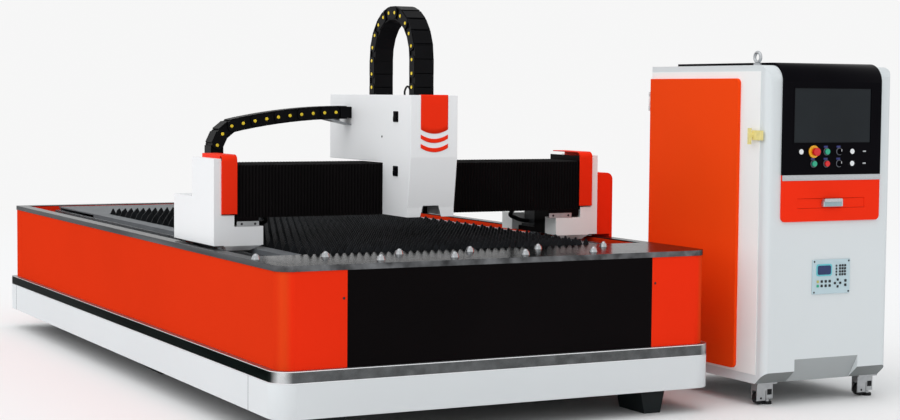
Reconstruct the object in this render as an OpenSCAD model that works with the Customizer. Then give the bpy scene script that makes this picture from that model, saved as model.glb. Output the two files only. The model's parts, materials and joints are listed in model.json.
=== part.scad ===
// Open-bed fiber laser cutting machine: slatted bed, travelling gantry with cutting carriage,
// and a free-standing control cabinet. Millimetres, +Z up, +Y from the loading end to the rear,
// origin on the floor at the centre of the bed.

/* [Bed] */
// Width of the bed on each side of the slats
bed_side = 378; // [370:1:440]
// Length of the bed's deck behind the last slat
rear_l = 850; // [800:10:1200]
// Height of the feet
foot_h = 121; // [90:1:160]
// Height of the white skirt
skirt_h = 158; // [120:1:220]
// Height of the metal band above the skirt
band_h = 55; // [30:1:90]
// Height of the side panels from the band to the rim's top plate
panel_h = 452; // [400:1:520]
// Depth of the rim's outer lip
rim_h = 26; // [16:1:40]
// Thickness of the rim's top plate
rim_t = 6; // [4:0.5:10]
// Width of the rim's top plate
rim_w = 62; // [45:1:80]
// Set-back of the panels behind the skirt
panel_inset = 28; // [12:1:40]
// Thickness of panel, skirt and band sheet
sheet_t = 3; // [2:0.5:5]
// Radius of the two front corners
corner_r = 100; // [60:5:140]
// Radius of the two rear corners
rear_r = 12; // [8:1:40]
// Width of the black front panel
front_panel_w = 1600; // [1200:10:1800]
// Length that the front skirt wraps along each side
skirt_front_wrap = 330; // [200:10:600]
// Length that the rear skirt and rear panel wrap along each side
rear_wrap = 120; // [80:10:300]
// Gap at panel seams
seam = 1; // [0.5:0.5:3]

/* [Table] */
// Length of the polished loading plate
plate_l = 440; // [380:10:520]
// Number of slats
slat_n = 32; // [24:1:34]
// Distance between slats
slat_pitch = 100; // [80:1:104]
// Length of a slat
slat_l = 1544; // [1400:2:1560]
// Thickness of a slat
slat_t = 6; // [3:0.5:8]
// Height of a slat's tips above the rim
slat_rise = 26; // [20:1:45]
// Height of a slat's teeth
tooth_h = 34; // [20:1:45]
// Spacing of a slat's teeth
tooth_pitch = 38.6; // [30:0.1:60]
// Spacing of the transfer balls across the plate
ball_pitch = 375; // [300:5:400]

/* [Guides] */
// Width of a long rail
rail_w = 34; // [25:1:40]
// Height of a long rail
rail_h = 35; // [28:1:38]
// Module of the long racks and pinions
gear_m = 4; // [3:0.5:4]
// Teeth on a long-travel pinion
pinion_n = 20; // [16:4:20]

/* [Gantry] */
// Distance of the gantry's front face from the front of the deck
gantry_at = 885; // [800:5:1500]
// Set-back of the gantry's ends from the outside of the panels
gantry_in = 46; // [30:1:60]
// Height of the gantry's underside above the rim
gantry_clear = 12; // [8:1:20]
// Height of an end housing
tower_h = 418; // [400:1:460]
// Depth of an end housing's upper part
tower_d = 310; // [295:5:330]
// Depth of an end housing's lower part behind its motor
housing_rear = 142; // [120:2:200]
// Wall of an end housing
housing_t = 4; // [2:0.5:6]
// Width of an end cap
cap_w = 66; // [55:1:80]
// Height of an end cap
cap_h = 286; // [260:1:300]
// Front-to-back depth of the beam
beam_d = 235; // [200:5:245]
// Pitch of the bellows' pleats
pleat = 20; // [16:1:40]

/* [Carriage] */
// Place of the carriage across the gantry
carriage_x = -61; // [-100:1:100]
// Width of the carriage cover
carriage_w = 255; // [240:1:320]
// Height of the carriage cover's top above the gantry's underside
carriage_top = 730; // [700:5:800]
// Reach of the carriage cover in front of the gantry
carriage_front = 320; // [290:5:360]
// Reach of the carriage cover behind the gantry's front
carriage_rear = 650; // [620:2:760]
// Sheet of the carriage cover
cover_t = 4; // [2:0.5:6]
// Bend radius of the head's chain
loop_r = 232; // [220:1:240]
// Width of the head's chain
loop_w = 108; // [80:2:130]
// Height of the chains' links
link_h = 60; // [40:1:64]

/* [Cabinet] */
// Gap between bed and cabinet
cab_gap = 262; // [220:2:400]
// Width of the white front beside the fascia
cab_side = 83; // [70:1:120]
// Depth of the cabinet
cab_d = 1030; // [900:5:1200]
// Height of the cabinet's shell
cab_h = 1580; // [1500:5:1700]
// Height of the casters
caster_h = 115; // [100:1:140]
// Reach of the cabinet's front before the bed's front
cab_ahead = 50; // [-200:10:200]
// Radius of the cabinet's top front edge
cab_r = 80; // [50:5:120]
// Radius of the cabinet's upright front edges
cab_edge_r = 35; // [15:1:50]
// Cabinet sheet
cab_t = 4; // [2:0.5:6]
// Width of the black fascia
fascia_w = 614; // [560:2:660]
// Radius of a push button
button_r = 14; // [10:0.5:16]

/* [Hidden] */
$fn = 48;

orange = "#E0381A";
white = "#E9EBED";
black = "#17171A";
grey = "#8B8F93";
steel = "#B9BDC1";

// Clearances: rest seat and running gap
seat = 0.3;
run = 1;

// Footprint of the bed
slat_gap = 30;
bed_w = slat_l + 2 * bed_side;
bed_l = 2 * (panel_inset + rim_w) + plate_l + slat_gap + (slat_n - 1) * slat_pitch + rear_l;

// Levels of the bed
skirt_top = foot_h + skirt_h;
band_top = skirt_top + band_h;
panel_top = band_top + panel_h;
rim_top = panel_top + rim_t;
panel_w = bed_w - 2 * panel_inset;
panel_l = bed_l - 2 * panel_inset;
panel_r = corner_r - panel_inset;
rim_proud = 4;
deck_x = panel_w / 2 - rim_w;
deck_y = panel_l / 2 - rim_w;

// Bed frame sections
beam_side_w = 195;
trough_z = rim_top - 57;
side_x1 = deck_x + sheet_t;
side_x0 = side_x1 - beam_side_w;
tube_t = 12;
base_w = 110;
cross_h = 150;
cross_w = 100;
cross_top = trough_z - 135;
cross_n = 6;

// Slat frame
slat_y0 = -deck_y + plate_l + slat_gap;
slat_y1 = slat_y0 + (slat_n - 1) * slat_pitch;
tip_z = rim_top + slat_rise;
ball_r = slat_rise / 2 - seat;
slat_bottom = rim_top - 69;
comb_x = slat_l / 2 + 3;
frame_bar = 8;
frame_x = side_x0 - 3;
frame_top = rim_top - 7;
frame_y0 = slat_y0 - slat_gap + 4;
frame_y1 = slat_y1 + 40;

// Long guides
rail_x = side_x0 + 132;
rail_y0 = frame_y0;
rail_y1 = deck_y - 30;
pinion_r = gear_m * pinion_n / 2;
tooth_step = PI * gear_m;
rack_x = side_x0 + 24;
rack_h = 30;
pinion_x = rack_x + pinion_r;

// Gantry levels and stations
gantry_y = -deck_y + gantry_at;
gantry_z = rim_top + gantry_clear;
tower_x1 = panel_w / 2 - gantry_in;
tower_x0 = tower_x1 - 38;
low_x0 = tower_x0 - cap_w;
foot_x0 = low_x0 - 149;
foot_d = 113;
foot_top = gantry_z + 91;
low_top = gantry_z + 146;
step_top = gantry_z + 224;
tower_top = gantry_z + tower_h;
base_z0 = gantry_z - 4;
base_t = 26;
base_z1 = base_z0 + base_t;
base_x0 = side_x0 - 4;
wiper_z = trough_z + rail_h + 8;
wrap_t = 18;
beam_y0 = gantry_y + 62;
beam_y1 = beam_y0 + beam_d;
beam_x = low_x0 - 8;
bellows_z0 = gantry_z + 133;
bellows_z1 = tower_top - 28;
beam_z0 = bellows_z0 + 8;
x_rack_h = 16;
beam_z1 = bellows_z1 - wrap_t - x_rack_h - 2;
beam_t = 12;
end_t = 6;
guide_x = beam_x - 1;
leg_y0 = gantry_y + foot_d + 2;
cap_lap = 12;
motor_s = 130;
motor_gap = 13;
motor_y = beam_y1 + motor_gap + motor_s / 2;
housing_d = motor_y + motor_s / 2 + housing_rear - gantry_y;
motor_h = 180;
block_l = 110;
block_h = 55;
block_w = 70;

// Carriage stations
x_rail_z = [beam_z0 + 55, beam_z1 - 55];
x_rail_h = 28;
x_rail_w = 24;
plate_w = 194;
plate_t = 25;
plate_y1 = gantry_y + 12;
plate_y0 = plate_y1 - plate_t;
cover_z1 = gantry_z + carriage_top;
cover_z0 = gantry_z + 135;
cover_rear_z = bellows_z1 + 6;
bench_z0 = cover_rear_z;
bench_t = 22;
bench_z1 = bench_z0 + bench_t;
post_z = cover_z1 - 34;
bend_z = gantry_z + 428;
flap_z = gantry_z + 182;
slope = 33;

// Chains: the head's loop and the beam chain with its travelling bend
loop_y0 = gantry_y - 175;
loop_y1 = loop_y0 + 2 * loop_r;
loop_z = cover_z1 + 182;
bend_r = 142;
bend_x = -tower_x1 + 291;
run_z0 = gantry_z + 299;
bend_cz = run_z0 + bend_r;
run_end = carriage_x - carriage_w / 2 - seat;
run_z1 = bend_cz + bend_r + 55;
chain_y0 = gantry_y + 373;
chain_w = 100;
lower_end = carriage_x + 420;
duct_l = 830;
duct_x0 = lower_end - 400;
duct_x1 = duct_x0 + duct_l;
tray_t = 4;
tray_z = run_z0 - link_h / 2 - seat - tray_t;

// Cutting head
head_y = gantry_y - 130;
head_r = 38;
head_z0 = gantry_z + 181;
nozzle_h = 40;
slide_y0 = gantry_y - 70;
slide_t = 20;
slide_z0 = gantry_z + 206;
z_rail_x = 60;

// Cabinet stations
cab_front = -bed_l / 2 - cab_ahead;
cab_x0 = bed_w / 2 + cab_gap;
cab_w = fascia_w + 2 * cab_side;
cab_x1 = cab_x0 + cab_w;
cab_xc = (cab_x0 + cab_x1) / 2;
cab_rear = cab_front + cab_d;
cab_z0 = caster_h;
cab_z1 = caster_h + cab_h;
under_y = 70;
under_z = 60;
toe_w = 400;
toe_z = 120;
fascia_t = 14;
fascia_y = cab_front - fascia_t;
fascia_z0 = cab_z1 - 540;
fascia_rear = cab_rear - 130;
strip_h = 28;
orange_z1 = fascia_z0 - strip_h;
orange_z0 = orange_z1 - 204;
drawer_w = 420;
drawer_h = 48;
drawer_d = 420;
drawer_z = orange_z0 + 66;
door_y0 = cab_front + 62;
door_y1 = cab_rear - 12;
door_z0 = cab_z0 + 45;
door_z1 = cab_z1 - 30;
door_t = 3;
door_panel_t = 16;
hinge_r = 7;
pin_r = 3;
hinge_h = 50;
hinge_x = cab_x0 - seat - hinge_r - 3;
hinge_y = door_y1 + hinge_r + 1;
hinge_z = [door_z0 + 130, door_z1 - 180];
control_pitch = 80;
control_x = cab_xc - 118;
control_z = [cab_z1 - 425, cab_z1 - 485];
stem_r = 7;
collar_r = 30;
collar_t = 6;
caster_in = 70;
wheel_r = 30;
wheel_w = 28;
axle_r = 6;

module block(lo, hi) {
    translate(lo) cube(hi - lo);
}

// Plan outline with its own front and rear corner radii
module plan(w, l, front_r, back_r) {
    translate([-w / 2, -l / 2 + front_r]) square([w, l - front_r - back_r]);
    translate([-w / 2 + front_r, -l / 2]) square([w - 2 * front_r, l / 2]);
    translate([-w / 2 + back_r, 0]) square([w - 2 * back_r, l / 2]);
    for (s = [-1, 1]) {
        translate([s * (w / 2 - front_r), -l / 2 + front_r]) circle(front_r);
        translate([s * (w / 2 - back_r), l / 2 - back_r]) circle(back_r);
    }
}

// Closed ring of sheet that follows the plan outline
module ring(w, l, front_r, back_r, z0, z1, t) {
    difference() {
        translate([0, 0, z0]) linear_extrude(z1 - z0) plan(w, l, front_r, back_r);
        translate([0, 0, z0 - 1]) linear_extrude(z1 - z0 + 2)
            plan(w - 2 * t, l - 2 * t, max(front_r - t, 1), max(back_r - t, 1));
    }
}

// Outline in Y and Z drawn out along X
module across(x0, x1) {
    translate([x0, 0, 0]) rotate([90, 0, 90]) linear_extrude(x1 - x0) children();
}

// Outline in X and Z drawn out along Y
module along(y0, y1) {
    translate([0, y1, 0]) rotate([90, 0, 0]) linear_extrude(y1 - y0) children();
}

module both_sides() {
    children();
    mirror([1, 0, 0]) children();
}

// Bed

module bed_frame() color("#3A3D41") {
    ring(bed_w - 2 * (sheet_t + seat), bed_l - 2 * (sheet_t + seat), corner_r - sheet_t,
        max(rear_r - sheet_t, 2), foot_h, skirt_top, base_w);
    both_sides() difference() {
        block([side_x0, -deck_y, skirt_top - 20], [side_x1, deck_y, trough_z]);
        block([side_x0 + tube_t, -deck_y - 1, skirt_top],
            [side_x1 - tube_t, deck_y + 1, trough_z - tube_t]);
    }
    for (i = [0 : cross_n - 1]) {
        y = -deck_y + cross_w + i * (2 * deck_y - 3 * cross_w) / (cross_n - 1);
        block([-side_x0 - 2, y, cross_top - cross_h], [side_x0 + 2, y + cross_w, cross_top]);
    }
    block([-side_x0 - 2, -deck_y, skirt_top], [side_x0 + 2, deck_y, skirt_top + frame_bar]);
    for (y = [-deck_y + 4, -deck_y + plate_l - 84])
        block([-deck_x + 12, y, trough_z - 2], [deck_x - 12, y + 80, panel_top]);
    block([-side_x0 - 2, deck_y - 80, skirt_top], [side_x0 + 2, deck_y, trough_z]);
}

// Folded panel wall: outer sheet, top flange and inner sheet
module panel_wall() {
    ring(panel_w, panel_l, panel_r, rear_r, band_top, panel_top, sheet_t);
    ring(panel_w, panel_l, panel_r, rear_r, panel_top - sheet_t, panel_top, rim_w);
    inner = rim_w - sheet_t;
    ring(panel_w - 2 * inner, panel_l - 2 * inner, max(panel_r - inner, 8), 8,
        trough_z, panel_top, sheet_t);
}

module side_panel() color(orange) intersection() {
    panel_wall();
    block([front_panel_w / 2 + seam / 2, -panel_l, 0], [panel_w, panel_l / 2 - rear_wrap, rim_top]);
}

module left_side_panel() mirror([1, 0, 0]) side_panel();

module right_side_panel() side_panel();

module front_panel() color(black) intersection() {
    panel_wall();
    block([-front_panel_w / 2 + seam / 2, -panel_l, 0], [front_panel_w / 2 - seam / 2, 0, rim_top]);
}

module rear_panel() color(orange) intersection() {
    panel_wall();
    block([-panel_w, panel_l / 2 - rear_wrap + seam, 0], [panel_w, panel_l, rim_top]);
}

module trim_band() color(steel) {
    ring(bed_w, bed_l, corner_r, rear_r, skirt_top, band_top, sheet_t);
    ring(bed_w, bed_l, corner_r, rear_r, band_top - sheet_t, band_top, panel_inset + 25);
}

module skirt_ring() {
    ring(bed_w, bed_l, corner_r, rear_r, foot_h, skirt_top, sheet_t);
}

module skirt_panels() color(white) {
    front_y = -bed_l / 2 + skirt_front_wrap;
    back_y = bed_l / 2 - rear_wrap;
    intersection() {
        skirt_ring();
        block([-bed_w, -bed_l, 0], [bed_w, front_y, skirt_top]);
    }
    both_sides() intersection() {
        skirt_ring();
        block([0, front_y + seam, 0], [bed_w, back_y - seam, skirt_top]);
    }
    intersection() {
        skirt_ring();
        block([-bed_w, back_y, 0], [bed_w, bed_l, skirt_top]);
    }
}

module top_rim() color(steel) {
    over = 2 * rim_proud;
    ring(panel_w + over, panel_l + over, panel_r + rim_proud, rear_r + rim_proud, panel_top, rim_top,
        rim_w + rim_proud);
    ring(panel_w + over, panel_l + over, panel_r + rim_proud, rear_r + rim_proud, rim_top - rim_h,
        panel_top + 1, rim_proud - seat);
}

module loading_plate() color("#C9CDD1") translate([0, 0, panel_top]) linear_extrude(rim_t) {
    x = deck_x - seat;
    y = -deck_y + seat;
    c = 9;
    y1 = -deck_y + plate_l;
    polygon([[-x + c, y], [x - c, y], [x, y + c], [x, y1], [-x, y1], [-x, y + c]]);
}

module ball_unit() {
    cup_h = slat_rise - ball_r + 3;
    centre = [0, 0, slat_rise - ball_r];
    difference() {
        cylinder(r1 = ball_r + 8, r2 = ball_r + 3, h = cup_h);
        translate(centre) sphere(ball_r + seat);
    }
    translate(centre) sphere(ball_r);
}

module ball_units() color("#D5D9DD") {
    front_row = -deck_y + 60;
    back_row = -deck_y + plate_l - 140;
    for (i = [-1.5 : 1.5]) translate([i * ball_pitch - 20, front_row, rim_top]) ball_unit();
    for (i = [-2 : 2]) translate([i * ball_pitch, back_row, rim_top]) ball_unit();
    translate([-panel_w / 2 + rim_w / 2, back_row, rim_top]) ball_unit();
}

module slat_frame() color(grey) {
    both_sides() {
        block([comb_x, frame_y0, frame_top - frame_bar], [frame_x, frame_y1, frame_top]);
        block([frame_x - frame_bar, frame_y0, cross_top], [frame_x, frame_y1, frame_top]);
        block([comb_x, frame_y0, slat_bottom - frame_bar], [comb_x + frame_bar, frame_y1, frame_top]);
        block([comb_x - 40, frame_y0, slat_bottom - frame_bar], [comb_x + 1, frame_y1, slat_bottom]);
    }
    for (y = [frame_y0, frame_y1 - frame_bar])
        block([-frame_x, y, cross_top], [frame_x, y + frame_bar, frame_top]);
    block([-frame_x, frame_y1 - 1, frame_top - frame_bar], [frame_x, deck_y - 20, frame_top]);
    block([-frame_x, deck_y - 60, trough_z], [frame_x, deck_y - 60 + frame_bar, frame_top]);
}

// Serrated support slat, drawn in X and Z
module slat_outline() {
    n = floor(slat_l / tooth_pitch);
    x0 = -n * tooth_pitch / 2;
    teeth = [for (i = [0 : n - 1]) each [
        [x0 + i * tooth_pitch, tip_z - tooth_h],
        [x0 + (i + 0.42) * tooth_pitch, tip_z],
        [x0 + (i + 0.58) * tooth_pitch, tip_z]
    ]];
    polygon(concat([[-slat_l / 2, slat_bottom], [-slat_l / 2, tip_z - tooth_h]], teeth,
        [[slat_l / 2, tip_z - tooth_h], [slat_l / 2, slat_bottom]]));
}

module slats() color("#4A4D50")
    for (i = [0 : slat_n - 1]) {
        y = slat_y0 + i * slat_pitch;
        along(y - slat_t / 2, y + slat_t / 2) slat_outline();
    }

// Rack outline in X and Y, with a tooth centred beside the pinion
module rack_outline() {
    first = ceil((rail_y0 - motor_y) / tooth_step) + 1;
    last = floor((rail_y1 - motor_y) / tooth_step) - 1;
    root = rack_x - 1.25 * gear_m;
    tip = rack_x + 0.9 * gear_m;
    teeth = [for (k = [first : last]) each [
        [root, motor_y + (k - 0.32) * tooth_step], [tip, motor_y + (k - 0.1) * tooth_step],
        [tip, motor_y + (k + 0.1) * tooth_step], [root, motor_y + (k + 0.32) * tooth_step]
    ]];
    polygon(concat([[side_x0, rail_y0], [root, rail_y0]], teeth, [[root, rail_y1], [side_x0, rail_y1]]));
}

module y_guides() color("#A4A8AC") both_sides() {
    block([rail_x - rail_w / 2, rail_y0, trough_z],
        [rail_x + rail_w / 2, rail_y1, trough_z + rail_h]);
    translate([0, 0, trough_z]) linear_extrude(rack_h) rack_outline();
}

anchor_x = bed_w / 2 - 300;
anchor_y = bed_l / 2 - 150;
anchor_r = 9;

// Corner feet carry the ends of the base ring and are bored for floor anchors, middle feet carry its sides
module levelling_feet() color(black) {
    for (sx = [0, 1], sy = [0, 1]) mirror([sx, 0, 0]) mirror([0, sy, 0]) difference() {
        along(anchor_y - 160, anchor_y + 65) polygon([[anchor_x - 45, 0], [anchor_x + 45, 0],
            [anchor_x + 72, foot_h], [anchor_x - 72, foot_h]]);
        translate([anchor_x, anchor_y, -1]) cylinder(r = anchor_r, h = 61);
    }
    side_x = bed_w / 2 - base_w;
    both_sides() along(-70, 70) polygon([[anchor_x - 70, 0], [anchor_x + 70, 0],
        [side_x + 90, foot_h], [anchor_x - 110, foot_h]]);
}

// Gantry

module beam() color("#55595D") {
    difference() {
        block([-beam_x - 1, beam_y0, beam_z0], [beam_x + 1, beam_y1, beam_z1]);
        block([-beam_x + beam_t, beam_y0 + beam_t, beam_z0 + beam_t],
            [beam_x - beam_t, beam_y1 - beam_t, beam_z1 - beam_t]);
    }
    both_sides() {
        block([beam_x - 100, leg_y0, base_z1 - 1], [beam_x, beam_y1, beam_z0 + 1]);
        block([beam_x, gantry_y + 2, bellows_z0], [beam_x + end_t, beam_y1 + 8, tower_top - 1]);
        difference() {
            block([base_x0, gantry_y + housing_t, base_z0],
                [tower_x1 - housing_t, gantry_y + housing_d - housing_t, base_z1]);
            translate([pinion_x, motor_y, base_z0 - 1]) cylinder(r = 22, h = base_t + 2);
        }
    }
}

module x_guides() color("#A4A8AC") {
    for (z = x_rail_z)
        block([-guide_x, beam_y0 - x_rail_h, z - x_rail_w / 2], [guide_x, beam_y0, z + x_rail_w / 2]);
    block([-guide_x, beam_y0 + 40, beam_z1], [guide_x, beam_y0 + 70, beam_z1 + x_rack_h]);
}

// Sheet-metal end housing, open underneath, with a front and a rear foot
module end_housing() color(white) {
    t = housing_t;
    y0 = gantry_y;
    y1 = gantry_y + tower_d;
    y2 = gantry_y + housing_d;
    difference() {
        union() {
            block([tower_x0, y0, gantry_z], [tower_x1, y1, tower_top]);
            block([low_x0, y0, gantry_z], [tower_x1, y2, low_top]);
            block([low_x0, y1, gantry_z], [tower_x1, y2, step_top]);
            block([foot_x0, y0, gantry_z], [tower_x1, y0 + foot_d, foot_top]);
            block([foot_x0, y2 - foot_d, gantry_z], [tower_x1, y2, foot_top]);
        }
        block([tower_x0 + t, y0 + t, gantry_z - 1], [tower_x1 - t, y1 - t, tower_top - t]);
        block([low_x0 + t, y0 + t, gantry_z - 1], [tower_x1 - t, y2 - t, low_top - t]);
        block([low_x0 + t, y1 + t, gantry_z - 1], [tower_x1 - t, y2 - t, step_top - t]);
        block([foot_x0 + t, y0 + t, gantry_z - 1], [low_x0 + t + 1, y0 + foot_d - t, foot_top - t]);
        block([foot_x0 + t, y2 - foot_d + t, gantry_z - 1], [low_x0 + t + 1, y2 - t, foot_top - t]);
        block([base_x0 - seat, y0 + t, gantry_z - 1], [tower_x1 - t, y2 - t, base_z1 + seat]);
        block([low_x0 - 1, motor_y - motor_s / 2 - 5, gantry_z - 1],
            [low_x0 + t + 1, motor_y + motor_s / 2 + 5, base_z1 + motor_h + 5]);
    }
    intersection() {
        across(foot_x0 + 4, tower_x0 - 10)
            polygon([[y0, gantry_z + 1], [y0, gantry_z - 2], [y0 + 30, wiper_z], [y0 + 54, wiper_z],
                [y0 + 54, base_z0 - seat], [y0 + t, base_z0 - seat], [y0 + t, gantry_z + 1]]);
        translate([0, y0 + 60, 0]) rotate([90, 0, 0]) linear_extrude(70)
            polygon([[foot_x0 + 4, gantry_z + 2], [tower_x0 - 10, gantry_z + 2],
                [tower_x0 - 38, wiper_z - 1], [low_x0 - 90, wiper_z - 1]]);
    }
}

module left_end_housing() mirror([1, 0, 0]) end_housing();

module right_end_housing() end_housing();

// Bent cap over the beam's end: front plate and top plate with a rounded edge
module end_cap() color(orange) {
    t = 5;
    r = 30;
    y0 = gantry_y - 10;
    z1 = tower_top + 20;
    z0 = z1 - cap_h;
    y1 = gantry_y + tower_d - 38;
    x0 = low_x0 - cap_lap;
    block([x0, y0, z0], [tower_x0, y0 + t, z1 - r]);
    block([x0, y0 + r, z1 - t], [tower_x0, y1, z1]);
    translate([x0, y0 + r, z1 - r]) rotate([90, 0, 90]) rotate([0, 0, 90])
        quarter_ring(r, t, tower_x0 - x0);
    block([tower_x0 - t, y0 + 1, z0], [tower_x0, y1, z1 - r]);
    block([tower_x0 - t, y0 + r, z1 - r - 1], [tower_x0, y1, z1 - 1]);
}

// Quarter ring of radius r and wall t, w long
module quarter_ring(r, t, w) {
    rotate_extrude(angle = 90) translate([r - t, 0]) square([t, w]);
}

module left_end_cap() mirror([1, 0, 0]) end_cap();

module right_end_cap() end_cap();

module y_bearing_blocks() color("#5E6266") both_sides()
    for (y = [gantry_y + 60, motor_y + pinion_r - 3]) difference() {
        x = rail_x;
        block([x - block_w / 2, y, base_z0 - block_h], [x + block_w / 2, y + block_l, base_z0]);
        block([x - rail_w / 2 - seat, y - 1, base_z0 - block_h - 1],
            [x + rail_w / 2 + seat, y + block_l + 1, trough_z + rail_h + seat]);
    }

// Servo motor with flange and a curved lead to the beam
module y_motors() color(black) both_sides() {
    half = motor_s / 2;
    block([pinion_x - half, motor_y - half, base_z1], [pinion_x + half, motor_y + half, base_z1 + 14]);
    block([pinion_x - 55, motor_y - 55, base_z1 + 13],
        [pinion_x + 55, motor_y + 55, base_z1 + motor_h - 35]);
    translate([pinion_x, motor_y, base_z1 + motor_h - 36]) cylinder(r = 50, h = 36);
}

// Arm plate outside the bed that leads the long-travel cables
module chain_arm() color(orange) {
    r = 36;
    x1 = bed_w / 2 + 24;
    y0 = gantry_y + 5;
    difference() {
        block([tower_x1, y0, panel_top - 120], [x1, y0 + 180, gantry_z + 325]);
        block([tower_x1 - 1, y0 - 1, panel_top - 121], [bed_w / 2 + 8, y0 + 181, gantry_z - 2]);
        translate([x1 - r, y0 - 1, gantry_z + 325 - r]) block([0, 0, 0], [r + 1, 182, r + 1]);
    }
    translate([x1 - r, y0 + 180, gantry_z + 325 - r]) rotate([90, 0, 0]) cylinder(r = r, h = 180);
}

// Pleated band: zigzag strip n pleats long, in the first two axes
module pleats(x0, x1, depth, t) {
    n = max(2, round((x1 - x0) / pleat));
    p = (x1 - x0) / n;
    ridge = [for (i = [0 : n - 1]) each [[x0 + i * p, 0], [x0 + (i + 0.5) * p, depth - t]]];
    outer = concat(ridge, [[x1, 0]]);
    inner = [for (i = [len(outer) - 1 : -1 : 0]) outer[i] + [0, t]];
    polygon(concat(outer, inner));
}

// Bellows over the front and top of the beam
module bellows(x0, x1) color(black) {
    t = 4;
    translate([0, gantry_y, bellows_z0]) linear_extrude(bellows_z1 - bellows_z0 - wrap_t / 2)
        pleats(x0, x1, wrap_t, t);
    translate([0, beam_y1 + 8, bellows_z1]) rotate([-90, 0, 180]) mirror([1, 0, 0])
        linear_extrude(beam_y1 + 8 - gantry_y - wrap_t / 2) pleats(x0, x1, wrap_t, t);
}

bellows_out = guide_x - seat;
bellows_in = plate_w / 2 + seat;

module left_bellows() bellows(-bellows_out, carriage_x - bellows_in);

module right_bellows() bellows(carriage_x + bellows_in, bellows_out);

// Trough behind the beam with a closed duct over the chain's fixed end
module chain_tray() color(steel) {
    y1 = chain_y0 + chain_w + 6;
    block([-guide_x, beam_y1, tray_z], [duct_x1, y1 + tray_t, tray_z + tray_t]);
    block([-guide_x, y1, tray_z], [duct_x1, y1 + tray_t, tray_z + 40]);
    difference() {
        block([duct_x0, chain_y0 - 10, tray_z], [duct_x1, y1 + tray_t, tray_z + link_h + 20]);
        block([duct_x0 - 1, chain_y0 - 6, tray_z + tray_t], [duct_x1 - tray_t, y1, tray_z + link_h + 16]);
    }
}

function polar(r, a) = r * [cos(a), sin(a)];

// Spur pinion with its shaft, teeth centred either side of the rack's tooth
module pinion() color("#A4A8AC") {
    root = pinion_r - 1.25 * gear_m;
    tip = pinion_r + 0.9 * gear_m;
    step = 360 / pinion_n;
    teeth = [for (k = [0 : pinion_n - 1]) let (a = 180 + (k + 0.5) * step) each [
        polar(root, a - 0.32 * step), polar(tip, a - 0.1 * step),
        polar(tip, a + 0.1 * step), polar(root, a + 0.32 * step)
    ]];
    translate([pinion_x, motor_y, trough_z + 2]) {
        linear_extrude(rack_h - 4) polygon(teeth);
        translate([0, 0, 1]) cylinder(r = 18, h = base_z1 - trough_z - 3 - seat);
    }
}

module left_pinion() mirror([1, 0, 0]) pinion();

module right_pinion() pinion();

// Carriage

module carriage_plate() color("#6A6E72") translate([carriage_x, 0, 0]) {
    half = plate_w / 2;
    block([-half, plate_y0, gantry_z + 146], [half, plate_y1, bench_z1]);
    block([-half, plate_y0, bench_z0], [half, loop_y1 + link_h, bench_z1]);
    for (x = [-half + 2, half - 72], z = x_rail_z) difference() {
        block([x, plate_y1 - 1, z - 30], [x + 70, beam_y0 - 6, z + 30]);
        block([x - 1, beam_y0 - x_rail_h - seat, z - x_rail_w / 2 - seat],
            [x + 71, beam_y0, z + x_rail_w / 2 + seat]);
    }
    for (x = [-z_rail_x, z_rail_x])
        block([x - 12, plate_y0 - 18, gantry_z + 166], [x + 12, plate_y0 + 1, bench_z1]);
    block([-loop_w / 2, loop_y1 - link_h / 2, bench_z1 - 1], [loop_w / 2, loop_y1 + link_h / 2, post_z]);
    block([-carriage_w / 2 + cover_t + seat, chain_y0 - 40, bench_z0],
        [half, chain_y0 + chain_w + 100, bench_z1]);
}

// Side outline of the carriage cover in Y and Z, inset by t
module cover_outline(t) {
    y0 = gantry_y - carriage_front + t;
    y1 = gantry_y + carriage_rear - t;
    gap = t > 0 ? 5 : 0;
    polygon([[y0, cover_z1 - t], [y0, bend_z], [y0 + slope, flap_z], [y0 + slope, cover_z0 - gap],
        [gantry_y - 3 + gap, cover_z0 - gap], [gantry_y - 3 + gap, cover_rear_z - gap],
        [y1, cover_rear_z - gap],
        [y1, cover_z1 - t]]);
}

module carriage_cover() color(white) translate([carriage_x, 0, 0]) difference() {
    half = carriage_w / 2;
    slot = loop_w / 2 + 5;
    across(-half, half) cover_outline(0);
    across(-half + cover_t, half - cover_t) cover_outline(cover_t);
    for (y = [loop_y0, loop_y1])
        block([-slot, y - link_h / 2 - 5, cover_z1 - 10], [slot, y + link_h / 2 + 5, cover_z1 + 1]);
    along(gantry_y - carriage_front - 1, gantry_y - carriage_front + slope + 20)
        polygon([[-58, cover_z0 - 1], [58, cover_z0 - 1], [42, cover_z0 + 55], [-42, cover_z0 + 55]]);
}

module carriage_motors() color(black) translate([carriage_x, 0, bench_z1]) {
    block([-75, gantry_y + 150, 0], [5, gantry_y + 230, 170]);
    block([15, gantry_y + 30, 0], [75, gantry_y + 90, 140]);
}

// Vertical slide that carries the head and the chain's moving end
module head_slide() color("#7B7F83") translate([carriage_x, 0, 0]) {
    y1 = slide_y0 + slide_t;
    block([-72, slide_y0, slide_z0], [72, y1, post_z - 1]);
    for (x = [-z_rail_x, z_rail_x], z = [slide_z0, slide_z0 + 130]) difference() {
        block([x - 24, y1 - 1, z], [x + 24, plate_y0 - 6, z + 80]);
        block([x - 12 - seat, plate_y0 - 18 - seat, z - 1], [x + 12 + seat, plate_y0, z + 81]);
    }
    block([-loop_w / 2, loop_y0 - link_h / 2, post_z - 16], [loop_w / 2, slide_y0 + 1, post_z]);
    block([-30, head_y + head_r - 8, slide_z0 + 60], [30, slide_y0 + 1, slide_z0 + 180]);
}

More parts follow.
